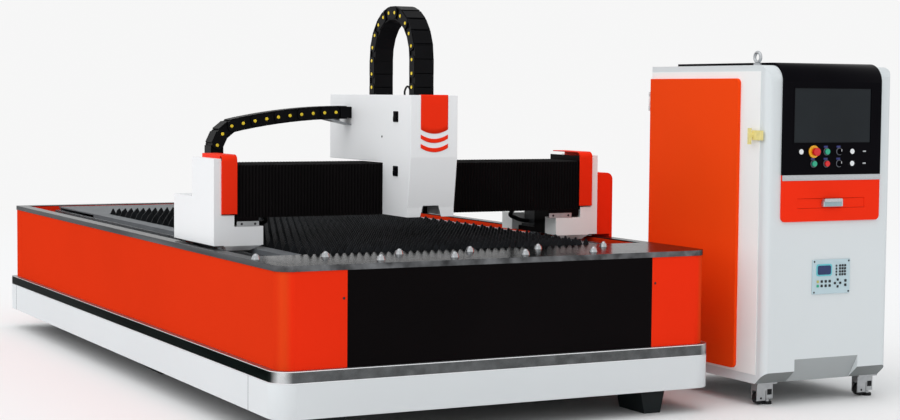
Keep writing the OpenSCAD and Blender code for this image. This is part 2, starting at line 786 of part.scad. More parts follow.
module cutting_head() color("#3B3F44") translate([carriage_x, head_y, 0]) difference() {
    union() {
        translate([0, 0, head_z0]) cylinder(r = head_r - 6, h = 60);
        translate([0, 0, head_z0 + 60]) cylinder(r = head_r, h = 200);
        translate([0, 0, head_z0 + 260]) cylinder(r = head_r - 12, h = 70);
    }
    block([-31, head_r - 8.3, slide_z0 + 59], [31, head_r + 1, slide_z0 + 181]);
}

module nozzle() color("#B87A3C") translate([carriage_x, head_y, head_z0 - nozzle_h]) difference() {
    cylinder(r1 = 6, r2 = 20, h = nozzle_h);
    translate([0, 0, -1]) cylinder(r = 1.5, h = nozzle_h + 2);
}

// Outline of a row of chain links along centre points, notched between links
function edge(c, n, h) = [for (i = [0 : len(c) - 2]) each let (
        d = c[i + 1] - c[i], u = d / norm(d), s = [-u[1], u[0]]
    ) [c[i] + 8 * u + h * s, c[i + 1] - 8 * u + h * s, c[i + 1] + (h - n) * s]];
function reversed(v) = [for (i = [len(v) - 1 : -1 : 0]) v[i]];

module links(c) {
    notch = 7;
    polygon(concat(edge(c, notch, link_h / 2), reversed(edge(c, -notch, -link_h / 2))));
}

// Loop over the carriage: straight legs and a half turn
module loop_chain() color(black) {
    leg_n = 3;
    arc_n = 10;
    leg = loop_z - post_z - seat;
    centres = concat(
        [for (i = [0 : leg_n - 1]) [loop_y0, post_z + seat + i * leg / leg_n]],
        [for (i = [0 : arc_n]) let (a = 180 - i * 180 / arc_n)
            [(loop_y0 + loop_y1) / 2, loop_z] + loop_r * [cos(a), sin(a)]],
        [for (i = [1 : leg_n]) [loop_y1, loop_z - i * leg / leg_n]]);
    across(carriage_x - loop_w / 2, carriage_x + loop_w / 2) links(centres);
}

// Upper run of the beam chain, rising to the carriage
module beam_chain() color(black) {
    n = 9;
    x0 = bend_x + 4;
    z0 = bend_cz + bend_r;
    centres = [for (i = [0 : n]) let (t = i / n)
        [x0 + t * (run_end - x0), z0 + (run_z1 - z0) * t * (2 - t)]];
    along(chain_y0, chain_y0 + chain_w) links(centres);
}

// Travelling half turn with the lower run in the tray
module beam_chain_bend() color(black) {
    n = 9;
    m = 17;
    centres = concat(
        [for (i = [0 : n]) let (a = 90 + i * 180 / n) [bend_x, bend_cz] + bend_r * [cos(a), sin(a)]],
        [for (i = [1 : m]) [bend_x + i * (lower_end - bend_x) / m, run_z0]]);
    along(chain_y0, chain_y0 + chain_w) links(centres);
}

// Cabinet

// Side outline of the cabinet in Y and Z, inset by t
module cabinet_profile(t) {
    r = max(cab_r - t, 2);
    y0 = cab_front + t;
    y1 = cab_rear - t;
    z1 = cab_z1 - t;
    z0 = cab_z0 + t;
    polygon([[y0, z1 - r], [y0 + r, z1 - r], [y0 + r, z1], [y1, z1], [y1, z0], [y0 + under_y, z0],
        [y0, z0 + under_z]]);
    translate([y0 + r, z1 - r]) circle(r);
}

// Cabinet body inset by t, rounded at the top front edge and the upright front edges
module cabinet_body(t) intersection() {
    across(cab_x0 + t, cab_x1 - t) cabinet_profile(t);
    translate([cab_xc, (cab_front + cab_rear) / 2, 0]) linear_extrude(cab_z1 + 1)
        plan(cab_w - 2 * t, cab_d - 2 * t, cab_edge_r - t, 12 - t);
}

module toe_wedge(t) {
    across(cab_xc - toe_w / 2 - t, cab_xc + toe_w / 2 + t)
        polygon([[cab_front - 1, cab_z0 + toe_z + t], [cab_front, cab_z0 + toe_z + t],
            [cab_front + under_y + t, cab_z0 - 1], [cab_front - 1, cab_z0 - 1]]);
}

module drawer_opening(gap, y1) {
    half = drawer_w / 2 + gap;
    block([cab_xc - half, fascia_y - 1, drawer_z - gap], [cab_xc + half, y1, drawer_z + drawer_h + gap]);
}

module cabinet_shell() color(white) {
    difference() {
        difference() {
            cabinet_body(0);
            toe_wedge(0);
        }
        difference() {
            cabinet_body(cab_t);
            toe_wedge(cab_t);
        }
        block([cab_x0 - 1, door_y0 + 30, door_z0 + 30], [cab_x0 + cab_t + 1, door_y1 - 30, door_z1 - 30]);
        drawer_opening(run, cab_front + cab_t + 1);
        for (c = moving_controls()) translate([c[0], cab_front - 1, c[1]]) rotate([-90, 0, 0])
            cylinder(r = stem_r + seat, h = cab_t + 2);
    }
    for (z = hinge_z) {
        for (z0 = [z - hinge_h / 2 - seat, z + hinge_h + seat]) {
            translate([hinge_x, hinge_y, z0]) cylinder(r = hinge_r, h = hinge_h / 2);
            block([hinge_x, hinge_y - 3, z0], [cab_x0 + 8, hinge_y + 3, z0 + hinge_h / 2]);
        }
        translate([hinge_x, hinge_y, z - 1]) cylinder(r = pin_r, h = hinge_h + 2);
    }
    back_y = cab_front + drawer_d + 36;
    for (s = [-1, 1]) {
        x = cab_xc + s * (drawer_w / 2 - 8);
        block([x - 8, cab_front + cab_t - 0.5, drawer_z - 20], [x + 8, back_y + cab_t, drawer_z - seat]);
    }
    back_w = drawer_w / 2 + 60;
    block([cab_xc - back_w, back_y, cab_z0 + 1], [cab_xc + back_w, back_y + cab_t, cab_z1 - 1]);
}

// Hinged left side with two hinge knuckles, and the raised orange panel on it
module side_door() color(white) {
    block([cab_x0 - door_t - seat, door_y0, door_z0], [cab_x0 - seat, door_y1, door_z1]);
    for (z = hinge_z) difference() {
        union() {
            translate([hinge_x, hinge_y, z]) cylinder(r = hinge_r, h = hinge_h);
            block([hinge_x + 1, door_y1 - 8, z], [cab_x0 - seat - 0.5, hinge_y, z + hinge_h]);
        }
        translate([hinge_x, hinge_y, z - 1]) cylinder(r = pin_r + seat, h = hinge_h + 2);
    }
}

module door_panel() color(orange) {
    x1 = cab_x0 - door_t - seat;
    x0 = x1 - door_panel_t;
    r = 25;
    y0 = door_y0 + 160;
    z0 = door_z0 + 15;
    z1 = door_z1 - 35;
    block([x0, y0 + r, z0], [x1, door_y1 - 10, z1]);
    block([x0, y0, z0 + r], [x1, y0 + r + 1, z1 - r]);
    for (z = [z0 + r, z1 - r]) translate([x0, y0 + r, z]) rotate([0, 90, 0])
        cylinder(r = r, h = door_panel_t);
}

key_y = door_y0 + 45;
key_z = door_z1 - 315;

module door_key() color("#D9C84A") translate([cab_x0 - door_t - 2 * seat, key_y, key_z]) {
    rotate([0, -90, 0]) cylinder(r = 13, h = 22);
    block([-34, -9, -45], [-22, 9, 35]);
    block([-13, -85, -24], [-8, 0, 24]);
}

// Bent black cover: top plate, rounded edge and front plate
module fascia() color(black) {
    x0 = cab_xc - fascia_w / 2;
    x1 = cab_xc + fascia_w / 2;
    r = cab_r + fascia_t;
    difference() {
        union() {
            block([x0, cab_front + cab_r, cab_z1 + seat], [x1, fascia_rear, cab_z1 + fascia_t]);
            block([x0, fascia_y, fascia_z0], [x1, cab_front - seat, cab_z1 - cab_r]);
            translate([x0, cab_front + cab_r, cab_z1 - cab_r]) rotate([90, 0, 90]) rotate([0, 0, 90])
                quarter_ring(r, fascia_t - seat, fascia_w);
        }
        screen_block(run, 1);
        for (c = moving_controls()) translate([c[0], fascia_y - 1, c[1]]) rotate([-90, 0, 0])
            cylinder(r = c[2] + run, h = fascia_t + 2);
    }
    translate([control_x, fascia_y + 1, control_z[0]]) rotate([90, 0, 0]) difference() {
        cylinder(r = collar_r, h = collar_t);
        translate([0, 0, -1]) cylinder(r = 12 + run, h = collar_t + 2);
    }
    for (x = [-1, 3], z = control_z) if (x > 0 || z == control_z[0])
        translate([control_x + x * control_pitch, fascia_y + 1, z]) rotate([90, 0, 0])
            cylinder(r = 13, h = 5);
}

// Moving controls: place across, height, stem radius
function moving_controls() = [
    [control_x, control_z[0], 12], [control_x + control_pitch, control_z[0], button_r],
    [control_x + 2 * control_pitch, control_z[0], button_r], [control_x, control_z[1], button_r],
    [control_x + control_pitch, control_z[1], button_r],
    [control_x + 2 * control_pitch, control_z[1], button_r]
];

screen_w = 480;
screen_h = 270;
screen_z = cab_z1 - 381;

module screen_block(gap, out) {
    block([cab_xc - screen_w / 2 - gap, fascia_y - out, screen_z - gap],
        [cab_xc + screen_w / 2 + gap, cab_front - seat + (out > 0 ? 1 : 0), screen_z + screen_h + gap]);
}

module screen() color("#23282B") screen_block(0, -3);

// Orange panel with the metal strip's seat above and the drawer's opening
module drawer_panel() color(orange) difference() {
    half = fascia_w / 2;
    r = 24;
    y0 = fascia_y + 2;
    union() {
        block([cab_xc - half, y0, orange_z0 + r], [cab_xc + half, cab_front - seat, fascia_z0 - seat]);
        block([cab_xc - half + r, y0, orange_z0], [cab_xc + half - r, cab_front - seat, orange_z0 + r + 1]);
        for (s = [-1, 1]) translate([cab_xc + s * (half - r), cab_front - seat, orange_z0 + r])
            rotate([90, 0, 0]) cylinder(r = r, h = cab_front - seat - y0);
    }
    drawer_opening(run, cab_front + 1);
}

// Open-topped keyboard tray with its front and a cup handle
module keyboard_drawer() color(orange) {
    x0 = cab_xc - drawer_w / 2;
    x1 = cab_xc + drawer_w / 2;
    y0 = fascia_y + 4;
    t = 3;
    block([x0, y0, drawer_z], [x1, cab_front + 12, drawer_z + drawer_h]);
    difference() {
        block([x0 + 6, cab_front + 11, drawer_z], [x1 - 6, cab_front + drawer_d, drawer_z + drawer_h - 4]);
        block([x0 + 6 + t, cab_front + 12, drawer_z + t],
            [x1 - 6 - t, cab_front + drawer_d - t, drawer_z + drawer_h]);
    }
    difference() {
        block([cab_xc - 56, y0 - 16, drawer_z + 8], [cab_xc + 56, y0 + 1, drawer_z + drawer_h - 2]);
        block([cab_xc - 50, y0 - 12, drawer_z + 7], [cab_xc + 50, y0, drawer_z + drawer_h - 12]);
    }
}

keypad_w = 235;
keypad_h = 172;
keypad_z = cab_z0 + 442;

module keypad() color("#C9D2D6") {
    x0 = cab_xc - keypad_w / 2 + 15;
    block([x0, cab_front - 8, keypad_z], [x0 + keypad_w, cab_front - seat, keypad_z + keypad_h]);
    block([x0 + 25, cab_front - 10, keypad_z + 95], [x0 + 115, cab_front - 7, keypad_z + 145]);
    for (i = [0 : 2], j = [0 : 3])
        translate([x0 + 165 + i * 16, cab_front - 10, keypad_z + 90 + j * 15]) cube([10, 3, 10]);
    for (i = [0 : 7], j = [0 : 1])
        translate([x0 + 25 + i * 25, cab_front - 10, keypad_z + 35 + j * 22]) cube([12, 3, 12]);
}

laser_w = 480;
laser_d = 420;
laser_h = 300;

// Laser source standing on the cabinet's floor
module laser_source() color("#6C7075") {
    x0 = cab_xc - laser_w / 2;
    y0 = cab_front + drawer_d + 90;
    block([x0, y0, cab_z0 + cab_t], [x0 + laser_w, y0 + laser_d, cab_z0 + cab_t + laser_h]);
}

module lifting_eye() color("#D5D9DD") translate([cab_x0 + 30, cab_front + 134, cab_z1 + 6]) {
    translate([0, 0, -6]) cylinder(r = 20, h = 10);
    translate([0, 0, 34]) rotate([0, 90, 0]) rotate_extrude() translate([24, 0]) circle(8);
}

function caster_place(i) = [i % 2 == 0 ? cab_x0 + caster_in : cab_x1 - caster_in,
    i < 2 ? cab_front + 120 : cab_rear - 100];

// Levelling caster: top plate, hollow body over the wheel and a pad on the floor
module caster_bodies() color(grey) for (i = [0 : 3]) translate(concat(caster_place(i), 0)) {
    half = wheel_w / 2 + 2;
    translate([0, 0, caster_h - 8]) block([-45, -45, 0], [75, 45, 8]);
    for (s = [-1, 1]) difference() {
        block([-34, s * (half + 3.5) - 3.5, 22], [20, s * (half + 3.5) + 3.5, caster_h - 7]);
        translate([-8, s * (half + 3.5) + 4.5, wheel_r + 4]) rotate([90, 0, 0]) cylinder(r = axle_r, h = 9);
    }
    block([24, -half - 7, 30], [64, half + 7, caster_h - 7]);
    block([-34, -half - 7, 72], [30, half + 7, caster_h - 7]);
    translate([44, 0, 0]) cylinder(r = 24, h = 14);
    translate([44, 0, 13]) cylinder(r = 12, h = 20);
}

module caster_wheel(i) color(black)
    translate(concat(caster_place(i), 0)) translate([-8, 0, wheel_r + 4]) rotate([90, 0, 0]) {
        cylinder(r = wheel_r, h = wheel_w, center = true);
        cylinder(r = axle_r - 0.05, h = wheel_w + 18, center = true);
    }

module caster_wheel_1() caster_wheel(0);
module caster_wheel_2() caster_wheel(1);
module caster_wheel_3() caster_wheel(2);
module caster_wheel_4() caster_wheel(3);

// Push button: cap in front of the fascia and a stem that runs in the panel
module push_button(i, cap_r, cap_h, gap, c) color(c) {
    at = moving_controls()[i];
    translate([at[0], fascia_y - gap, at[1]]) rotate([90, 0, 0]) cylinder(r = cap_r, h = cap_h);
    translate([at[0], cab_front + 20, at[1]]) rotate([90, 0, 0])
        cylinder(r = stem_r, h = 20 + fascia_t + gap + 1);
}

module estop_button() push_button(0, 20, 18, collar_t + 6, "#D0201C");
module start_button() push_button(1, button_r, 7, 5, "#1F9D6B");
module laser_button() push_button(3, button_r, 7, 5, "#1F9D6B");
module stop_button() push_button(4, button_r, 7, 5, "#C02030");

// Selector knob with a grip bar
module knob(i) color("#2A2C30") {
    at = moving_controls()[i];
    push_button(i, button_r, 8, 1, "#2A2C30");
    translate([at[0], fascia_y - 8, at[1]]) block([-4, -12, -button_r + 1], [4, 0, button_r - 1]);
}

module mode_knob() knob(2);
module light_knob() knob(5);

bed_frame();
left_side_panel();
right_side_panel();
front_panel();
rear_panel();
trim_band();
skirt_panels();
top_rim();
loading_plate();
ball_units();
slat_frame();
slats();
y_guides();
levelling_feet();
beam();
x_guides();
left_end_housing();
right_end_housing();
left_end_cap();
right_end_cap();
y_bearing_blocks();
y_motors();
chain_arm();
left_bellows();
right_bellows();
chain_tray();
left_pinion();
right_pinion();
carriage_plate();
carriage_cover();
carriage_motors();
head_slide();
cutting_head();
nozzle();
loop_chain();
beam_chain();
beam_chain_bend();
cabinet_shell();
side_door();
door_panel();
door_key();
fascia();
screen();
drawer_panel();
keyboard_drawer();
keypad();
laser_source();
lifting_eye();
caster_bodies();
caster_wheel_1();
caster_wheel_2();
caster_wheel_3();
caster_wheel_4();
estop_button();
start_button();
laser_button();
stop_button();
mode_knob();
light_knob();
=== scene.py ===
"""Looks of an open-bed fiber laser cutting machine: finishes, trim and flexible pieces on the CAD frame."""

import json
import math

import bmesh
import bpy
from mathutils import Matrix, Vector

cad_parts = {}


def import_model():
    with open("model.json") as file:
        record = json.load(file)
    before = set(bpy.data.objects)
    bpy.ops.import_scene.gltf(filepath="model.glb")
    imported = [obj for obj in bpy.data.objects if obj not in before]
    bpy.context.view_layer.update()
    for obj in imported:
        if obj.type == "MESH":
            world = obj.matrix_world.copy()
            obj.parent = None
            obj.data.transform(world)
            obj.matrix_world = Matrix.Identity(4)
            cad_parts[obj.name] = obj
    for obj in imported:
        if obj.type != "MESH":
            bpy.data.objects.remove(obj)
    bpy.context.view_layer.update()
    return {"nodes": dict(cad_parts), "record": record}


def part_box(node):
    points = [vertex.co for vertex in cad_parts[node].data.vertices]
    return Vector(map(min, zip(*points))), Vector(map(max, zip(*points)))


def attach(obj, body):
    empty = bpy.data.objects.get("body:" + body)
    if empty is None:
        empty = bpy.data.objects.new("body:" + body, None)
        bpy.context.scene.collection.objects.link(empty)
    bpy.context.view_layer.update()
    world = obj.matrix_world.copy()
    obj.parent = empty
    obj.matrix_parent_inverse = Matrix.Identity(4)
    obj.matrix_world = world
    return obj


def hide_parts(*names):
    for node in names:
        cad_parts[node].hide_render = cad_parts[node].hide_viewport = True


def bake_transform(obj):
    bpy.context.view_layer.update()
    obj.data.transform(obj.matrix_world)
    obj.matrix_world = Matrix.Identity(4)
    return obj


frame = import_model()
nodes = frame["nodes"]
MM = 0.001


# Shader helpers

def linear(r, g, b):
    """An sRGB colour, 0 to 255, as the linear colour that a shader takes."""
    shares = (r / 255, g / 255, b / 255)
    return tuple(c / 12.92 if c <= 0.04045 else ((c + 0.055) / 1.055) ** 2.4 for c in shares)


def feed(tree, socket, value):
    """Give a node's input a constant or another node's output."""
    if isinstance(value, bpy.types.NodeSocket):
        tree.links.new(value, socket)
    else:
        socket.default_value = value


def calculate(tree, operation, a, b=None):
    node = tree.nodes.new("ShaderNodeMath")
    node.operation = operation
    feed(tree, node.inputs[0], a)
    if b is not None:
        feed(tree, node.inputs[1], b)
    return node.outputs["Value"]


def map_range(tree, value, start, end, low=0.0, high=1.0, curve="LINEAR"):
    """Low where value is start or before it, and high where it is end or past it."""
    node = tree.nodes.new("ShaderNodeMapRange")
    node.interpolation_type = curve
    for name, number in (("From Min", start), ("From Max", end), ("To Min", low), ("To Max", high)):
        node.inputs[name].default_value = number
    tree.links.new(value, node.inputs["Value"])
    return node.outputs["Result"]


def mix(tree, factor, a, b):
    """The colour a where factor is 0 and b where it is 1."""
    node = tree.nodes.new("ShaderNodeMix")
    node.data_type = "RGBA"
    feed(tree, node.inputs["Factor"], factor)
    feed(tree, node.inputs["A"], a)
    feed(tree, node.inputs["B"], b)
    return node.outputs["Result"]


def component(tree, vector, axis):
    node = tree.nodes.new("ShaderNodeSeparateXYZ")
    tree.links.new(vector, node.inputs["Vector"])
    return node.outputs[axis]


def noise(tree, scale, detail, stretch):
    coords = tree.nodes.new("ShaderNodeTexCoord")
    mapping = tree.nodes.new("ShaderNodeMapping")
    mapping.inputs["Scale"].default_value = stretch
    texture = tree.nodes.new("ShaderNodeTexNoise")
    texture.inputs["Scale"].default_value = scale
    texture.inputs["Detail"].default_value = detail
    tree.links.new(coords.outputs["Object"], mapping.inputs["Vector"])
    tree.links.new(mapping.outputs["Vector"], texture.inputs["Vector"])
    return texture.outputs["Fac"]


def spread(tree, value, low, high):
    """The middle of a noise, where most of it lies, as low to high."""
    return map_range(tree, value, 0.3, 0.7, low, high)


def varied(tree, drift, color, vary):
    """A colour that drifts from darker to lighter by the share vary."""
    dark = [c * (1 - vary) for c in color]
    light = [min(1, c * (1 + vary)) for c in color]
    return mix(tree, drift, (*dark, 1), (*light, 1))


def below(tree, color, under):
    """Painted shade: the colour under on faces that look down, and color elsewhere."""
    geometry = tree.nodes.new("ShaderNodeNewGeometry")
    down = map_range(tree, component(tree, geometry.outputs["True Normal"], "Z"), -0.1, -0.75)
    return mix(tree, down, color, (*under, 1))


def painted_side_light_and_shade(tree, color, corner, side):
    """Painted light and shade: the colour side on faces that look along X, corner on the round between, and
    color on the ends.
    """
    geometry = tree.nodes.new("ShaderNodeNewGeometry")
    turned = calculate(tree, "ABSOLUTE", component(tree, geometry.outputs["Normal"], "X"))
    color = mix(tree, map_range(tree, turned, 0.2, 0.55), color, corner)
    return mix(tree, map_range(tree, turned, 0.75, 0.96), color, side)


def edge_lines(tree, color, low, high, width, bright):
    """Painted highlight: the colour bright within width of the heights low and high, and color elsewhere."""
    place = tree.nodes.new("ShaderNodeTexCoord")
    height = component(tree, place.outputs["Object"], "Z")
    off_middle = calculate(tree, "ABSOLUTE", calculate(tree, "SUBTRACT", height, (low + high) / 2))
    on_highlight = calculate(tree, "GREATER_THAN", off_middle, (high - low) / 2 - width)
    return mix(tree, on_highlight, color, (*bright, 1))


def finish(name, color, rough, metallic=0.0, vary=0.06, patch=2.5, grain=500.0, bump=0.03, stretch=(1, 1, 1),
           gloss=0.5, under=None, turned=None, lines=None, grazing=1.0):
    """A surface with slow colour drift, fine grain in its roughness and a slight relief."""
    material = bpy.data.materials.new(name)
    material.use_nodes = True
    tree = material.node_tree
    shader = tree.nodes["Principled BSDF"]
    drift = spread(tree, noise(tree, patch, 4, stretch), 0, 1)
    shade = varied(tree, drift, color, vary)
    # Painted shade: a grey on faces that look down.
    if under:
        shade = below(tree, shade, under)
    # Painted light and shade by how a face looks along X.
    if turned:
        shade = painted_side_light_and_shade(tree, shade, *(varied(tree, drift, c, vary) for c in turned))
    # Painted highlight stripes at two heights.
    if lines:
        shade = edge_lines(tree, shade, *lines)
    tree.links.new(shade, shader.inputs["Base Color"])
    fine = noise(tree, grain, 2, stretch)
    tree.links.new(spread(tree, fine, rough * 0.85, min(1, rough * 1.15)), shader.inputs["Roughness"])
    relief = tree.nodes.new("ShaderNodeBump")
    relief.inputs["Strength"].default_value = bump
    relief.inputs["Distance"].default_value = 1 * MM
    tree.links.new(fine, relief.inputs["Height"])
    tree.links.new(relief.outputs["Normal"], shader.inputs["Normal"])
    shader.inputs["Metallic"].default_value = metallic
    shader.inputs["Specular IOR Level"].default_value = gloss
    shader.inputs["Specular Tint"].default_value = (grazing, grazing, grazing, 1)
    return material


# Finishes

ALONG = (6, 0.35, 6)
ACROSS = (0.35, 6, 6)
# Width of the painted highlight stripes along the trim band's top and bottom edges.
BAND_HIGHLIGHT_WIDTH = 3.5 * MM
band_low, band_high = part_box("trim_band")


def paint(color, vary=0.015, patch=1.2, gloss=0.2, **more):
    """Smooth powder coat."""
    return dict(color=color, rough=0.45, vary=vary, patch=patch, grain=700, gloss=gloss, **more)


def metal(color, rough, metallic=1.0, **more):
    return dict(color=color, rough=rough, metallic=metallic, **more)


def plastic(color, rough=0.4, vary=0.05, patch=40, **more):
    """Finely grained plastic, film or glass."""
    return dict(color=color, rough=rough, vary=vary, patch=patch, grain=900, **more)


looks = {
    # Orange paint with painted light: a darker orange on the faces that look along X is painted shade, and a
    # more yellow orange on the rounded corners is a painted highlight.
    "orange_paint": paint((0.84, 0.031, 0.0075), vary=0.04, patch=0.8, gloss=0.0,
                          turned=((0.73, 0.052, 0.0095), (0.66, 0.034, 0.0070))),
    # Brighter copies of the orange paint on the cabinet door and on the caps, chain arm, badge and drawer
    # front, as painted light.
    "cabinet_orange_with_painted_light": paint((0.90, 0.065, 0.006), vary=0.04, patch=0.8, gloss=0.01),
    "cap_orange_with_painted_light": dict(color=(0.88, 0.03, 0.007), rough=0.4, vary=0.04, patch=2, grain=700, gloss=0.03),
    "white_paint": paint((0.67, 0.70, 0.715)),
    # Brighter copies of the white paint on the end housings, the side door and the carriage cover, as
    # painted light.
    "cover_white_with_painted_light": paint((0.79, 0.80, 0.81)),
    "door_white_with_painted_light": paint((0.89, 0.895, 0.885)),
    "carriage_white_with_painted_light": paint((0.85, 0.86, 0.87)),
    # Cabinet white with a grey on the faces that look down, as painted shade.
    "cabinet_white_with_painted_shade_under": paint((0.68, 0.72, 0.735), under=(0.20, 0.215, 0.215)),
    "black_paint": dict(color=linear(9, 6, 7), rough=0.32, vary=0.2, patch=1.5, grain=700, gloss=0.03),
    "frame_paint": dict(color=linear(36, 38, 41), rough=0.55, vary=0.1, patch=4, grain=400, bump=0.08,
                        gloss=0.3),
    "table_steel": dict(color=linear(92, 96, 100), rough=0.55, vary=0.12, patch=5, grain=300, bump=0.08,
                        gloss=0.3),
    "foot_iron": dict(color=linear(22, 28, 30), rough=0.6, vary=0.12, patch=6, grain=300, bump=0.1,
                      gloss=0.2),
    "stainless": metal(linear(112, 114, 116), 0.3, vary=0.25, patch=3, grain=90, stretch=ALONG),
    # Trim band steel with painted reflections: a bright colour on the rounded corners, a dark colour on the
    # faces that look along X, and painted highlight stripes along the top and bottom edges.
    "band_steel_with_painted_reflections": metal(linear(92, 94, 95), 0.3, vary=0.25, patch=3, grain=90, stretch=ALONG, grazing=0.4,
                        turned=(linear(205, 207, 208), linear(36, 41, 40)),
                        lines=(band_low.z, band_high.z, BAND_HIGHLIGHT_WIDTH, linear(240, 242, 244))),
    "polished": metal(linear(92, 93, 95), 0.2, vary=0.7, patch=2.2, grain=60, bump=0.02, stretch=ALONG,
                      grazing=0.5),
    "slat_steel": metal(linear(36, 38, 41), 0.55, 0.6, vary=0.5, patch=9, grain=160, bump=0.25, gloss=0.2),
    "ground_steel": metal(linear(170, 173, 176), 0.25, vary=0.1, patch=6, grain=120, stretch=ALONG),
    "machined": metal(linear(150, 153, 156), 0.35, 0.9, vary=0.08, patch=6, grain=240, stretch=ACROSS),
    "ball_chrome": metal(linear(176, 179, 182), 0.14, vary=0.05, patch=40, grain=400, bump=0.0),
    "copper": metal(linear(186, 122, 66), 0.25, vary=0.12, patch=30, grain=500),
    "caster_metal": metal(linear(170, 172, 174), 0.35, 0.85, vary=0.1, patch=30, grain=300),
    "silver": metal(linear(186, 189, 192), 0.3, 0.8, vary=0.08, patch=10, grain=200, stretch=ACROSS),
    "bezel_grey": metal(linear(98, 102, 110), 0.35, 0.6, vary=0.08, patch=30, grain=500),
    "cup_grey": metal(linear(150, 172, 178), 0.4, 0.3, vary=0.05, patch=20, grain=500),
    "screw_dark": metal(linear(46, 44, 46), 0.4, 0.6, vary=0.2, patch=60, grain=600),
    "key_yellow": metal(linear(234, 220, 146), 0.4, 0.1, vary=0.1, patch=40, grain=500),
    "bellows_cloth": plastic(linear(12, 9, 10), 0.7, 0.2, 8, bump=0.3, gloss=0.08),
    "chain_plastic": dict(color=linear(13, 13, 15), rough=0.42, vary=0.18, patch=12, grain=600, bump=0.1,
                          gloss=0.05),
    "fascia_black": dict(color=linear(10, 9, 13), rough=0.3, vary=0.12, patch=4, grain=600, gloss=0.02),
    "instrument": dict(color=linear(110, 114, 118), rough=0.5, vary=0.05, patch=5, grain=500),
    "wheel_rubber": dict(color=linear(22, 22, 24), rough=0.6, vary=0.15, patch=30, grain=500, bump=0.15,
                         gloss=0.2),
    "seal_grey": dict(color=linear(84, 86, 94), rough=0.6, vary=0.08, patch=20, grain=500, gloss=0.2),
    "screen_glass": plastic(linear(27, 32, 36), 0.2, 0.18, 2.5, bump=0.0, gloss=0.15),
    "keypad_film": plastic(linear(184, 205, 212), 0.45, 0.03, 9, bump=0.05),
    "red_plastic": plastic(linear(208, 24, 28), 0.3, 0.06),
    "green_plastic": plastic(linear(34, 165, 128), 0.3, 0.06),
    "pivot_yellow": plastic(linear(236, 206, 52), vary=0.08, patch=60, gloss=0.2),
    "collar_yellow": plastic(linear(244, 176, 24)),
    "socket_white": plastic(linear(226, 229, 230), vary=0.03),
    "key_olive": plastic(linear(178, 174, 92)),
    "label_blue": plastic(linear(34, 42, 110), vary=0.1, patch=60),
    "lcd_blue": plastic(linear(16, 40, 92), 0.2, 0.12, 30),
    "lcd_teal": plastic(linear(96, 190, 200), patch=30),
}
finishes = {name: finish(name, **look) for name, look in looks.items()}


# Mesh helpers

def mm(pairs):
    """Pairs of millimetres as metres."""
    return [(u * MM, v * MM) for u, v in pairs]


def across_x(u, v, w):
    return Vector((w, u, v))


def across_y(u, v, w):
    return Vector((u, w, v))


def arc(centre, radius, start, end, steps):
    """Points on a round from start to end, in degrees."""
    turn = [math.radians(start + (end - start) * k / steps) for k in range(steps + 1)]
    return [centre + radius * Vector((math.cos(a), math.sin(a))) for a in turn]


def rounded(u0, v0, u1, v1, radius, steps=5):
    """Outline of a rectangle with round corners."""
    left, right, lower, upper = u0 + radius, u1 - radius, v0 + radius, v1 - radius
    points = []
    for u, v, start in ((right, upper, 0), (left, upper, 90), (left, lower, 180), (right, lower, 270)):
        points += arc(Vector((u, v)), radius, start, start + 90, steps)
    return points


def add_box(mesh, low, high):
    for v in bmesh.ops.create_cube(mesh, size=1)["verts"]:
        v.co = Vector([low[i] + (v.co[i] + 0.5) * (high[i] - low[i]) for i in range(3)])


def add_prism(mesh, outline, place, start, end):
    """A closed outline drawn out from start to end; place(u, v, w) puts a point into the frame."""
    add_skin(mesh, [[mesh.verts.new(place(u, v, w)) for u, v in outline] for w in (start, end)])


def add_skin(mesh, rings):
    """A closed shape through rings of points."""
    for a, b in zip(rings, rings[1:]):
        for k in range(len(a)):
            n = (k + 1) % len(a)
            mesh.faces.new((a[k], a[n], b[n], b[k]))
    mesh.faces.new(rings[0])
    mesh.faces.new(rings[-1])


def add_sheet(mesh, rows):
    """Faces between neighbouring rows of points."""
    for a, b in zip(rows, rows[1:]):
        for k in range(len(a) - 1):
            mesh.faces.new((a[k], a[k + 1], b[k + 1], b[k]))


def add_lathe(mesh, profile, centre, axis, steps=28):
    """A turned shape: profile lists (radius, height) along axis from centre, closed at both ends."""
    turn = Vector((0, 0, 1)).rotation_difference(Vector(axis)).to_matrix()
    angles = [2 * math.pi * k / steps for k in range(steps)]
    rings = []
    for radius, height in profile:
        ring = [Vector((radius * math.cos(a), radius * math.sin(a), height)) for a in angles]
        rings.append([mesh.verts.new(Vector(centre) + turn @ point) for point in ring])
    add_skin(mesh, rings)


def soften(made, width):
    """Round the sharp edges."""
    edge = made.modifiers.new("edge", "BEVEL")
    edge.width = width
    edge.segments = 2
    edge.limit_method = "ANGLE"
    edge.angle_limit = math.radians(40)


def thicken(made, thickness):
    """Give a sheet its thickness, half to each side."""
    wall = made.modifiers.new("wall", "SOLIDIFY")
    wall.thickness = thickness
    wall.offset = 0


def piece(name, mesh, materials, body=None, bevel=0.0, smooth=False):
    """Turn a mesh into an object that rides on a body."""
    bmesh.ops.recalc_face_normals(mesh, faces=mesh.faces)
    data = bpy.data.meshes.new(name)
    mesh.to_mesh(data)
    mesh.free()
    made = bpy.data.objects.new(name, data)
    bpy.context.scene.collection.objects.link(made)
    for m in materials if isinstance(materials, (list, tuple)) else [materials]:
        data.materials.append(m)
    if smooth:
        data.polygons.foreach_set("use_smooth", [True] * len(data.polygons))
    if bevel:
        soften(made, bevel)
    if body:
        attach(made, body)
    return made


TOWARD_FRONT = (0, -1, 0)
SCREW_R = 6 * MM


def screws(name, places, axis, body, radius=SCREW_R):
    """Round-headed screws, hollow in the middle."""
    rim, crown, hollow = 0.8 * MM, 2.2 * MM, 1.2 * MM
    profile = [(radius, -1 * MM), (radius, rim), (radius * 0.7, crown), (radius * 0.25, crown),
               (radius * 0.2, hollow)]
    mesh = bmesh.new()
    for place in places:
        add_lathe(mesh, profile, place, axis, 16)
    piece(name, mesh, finishes["screw_dark"], body)


# CAD nodes: finish and softened edges

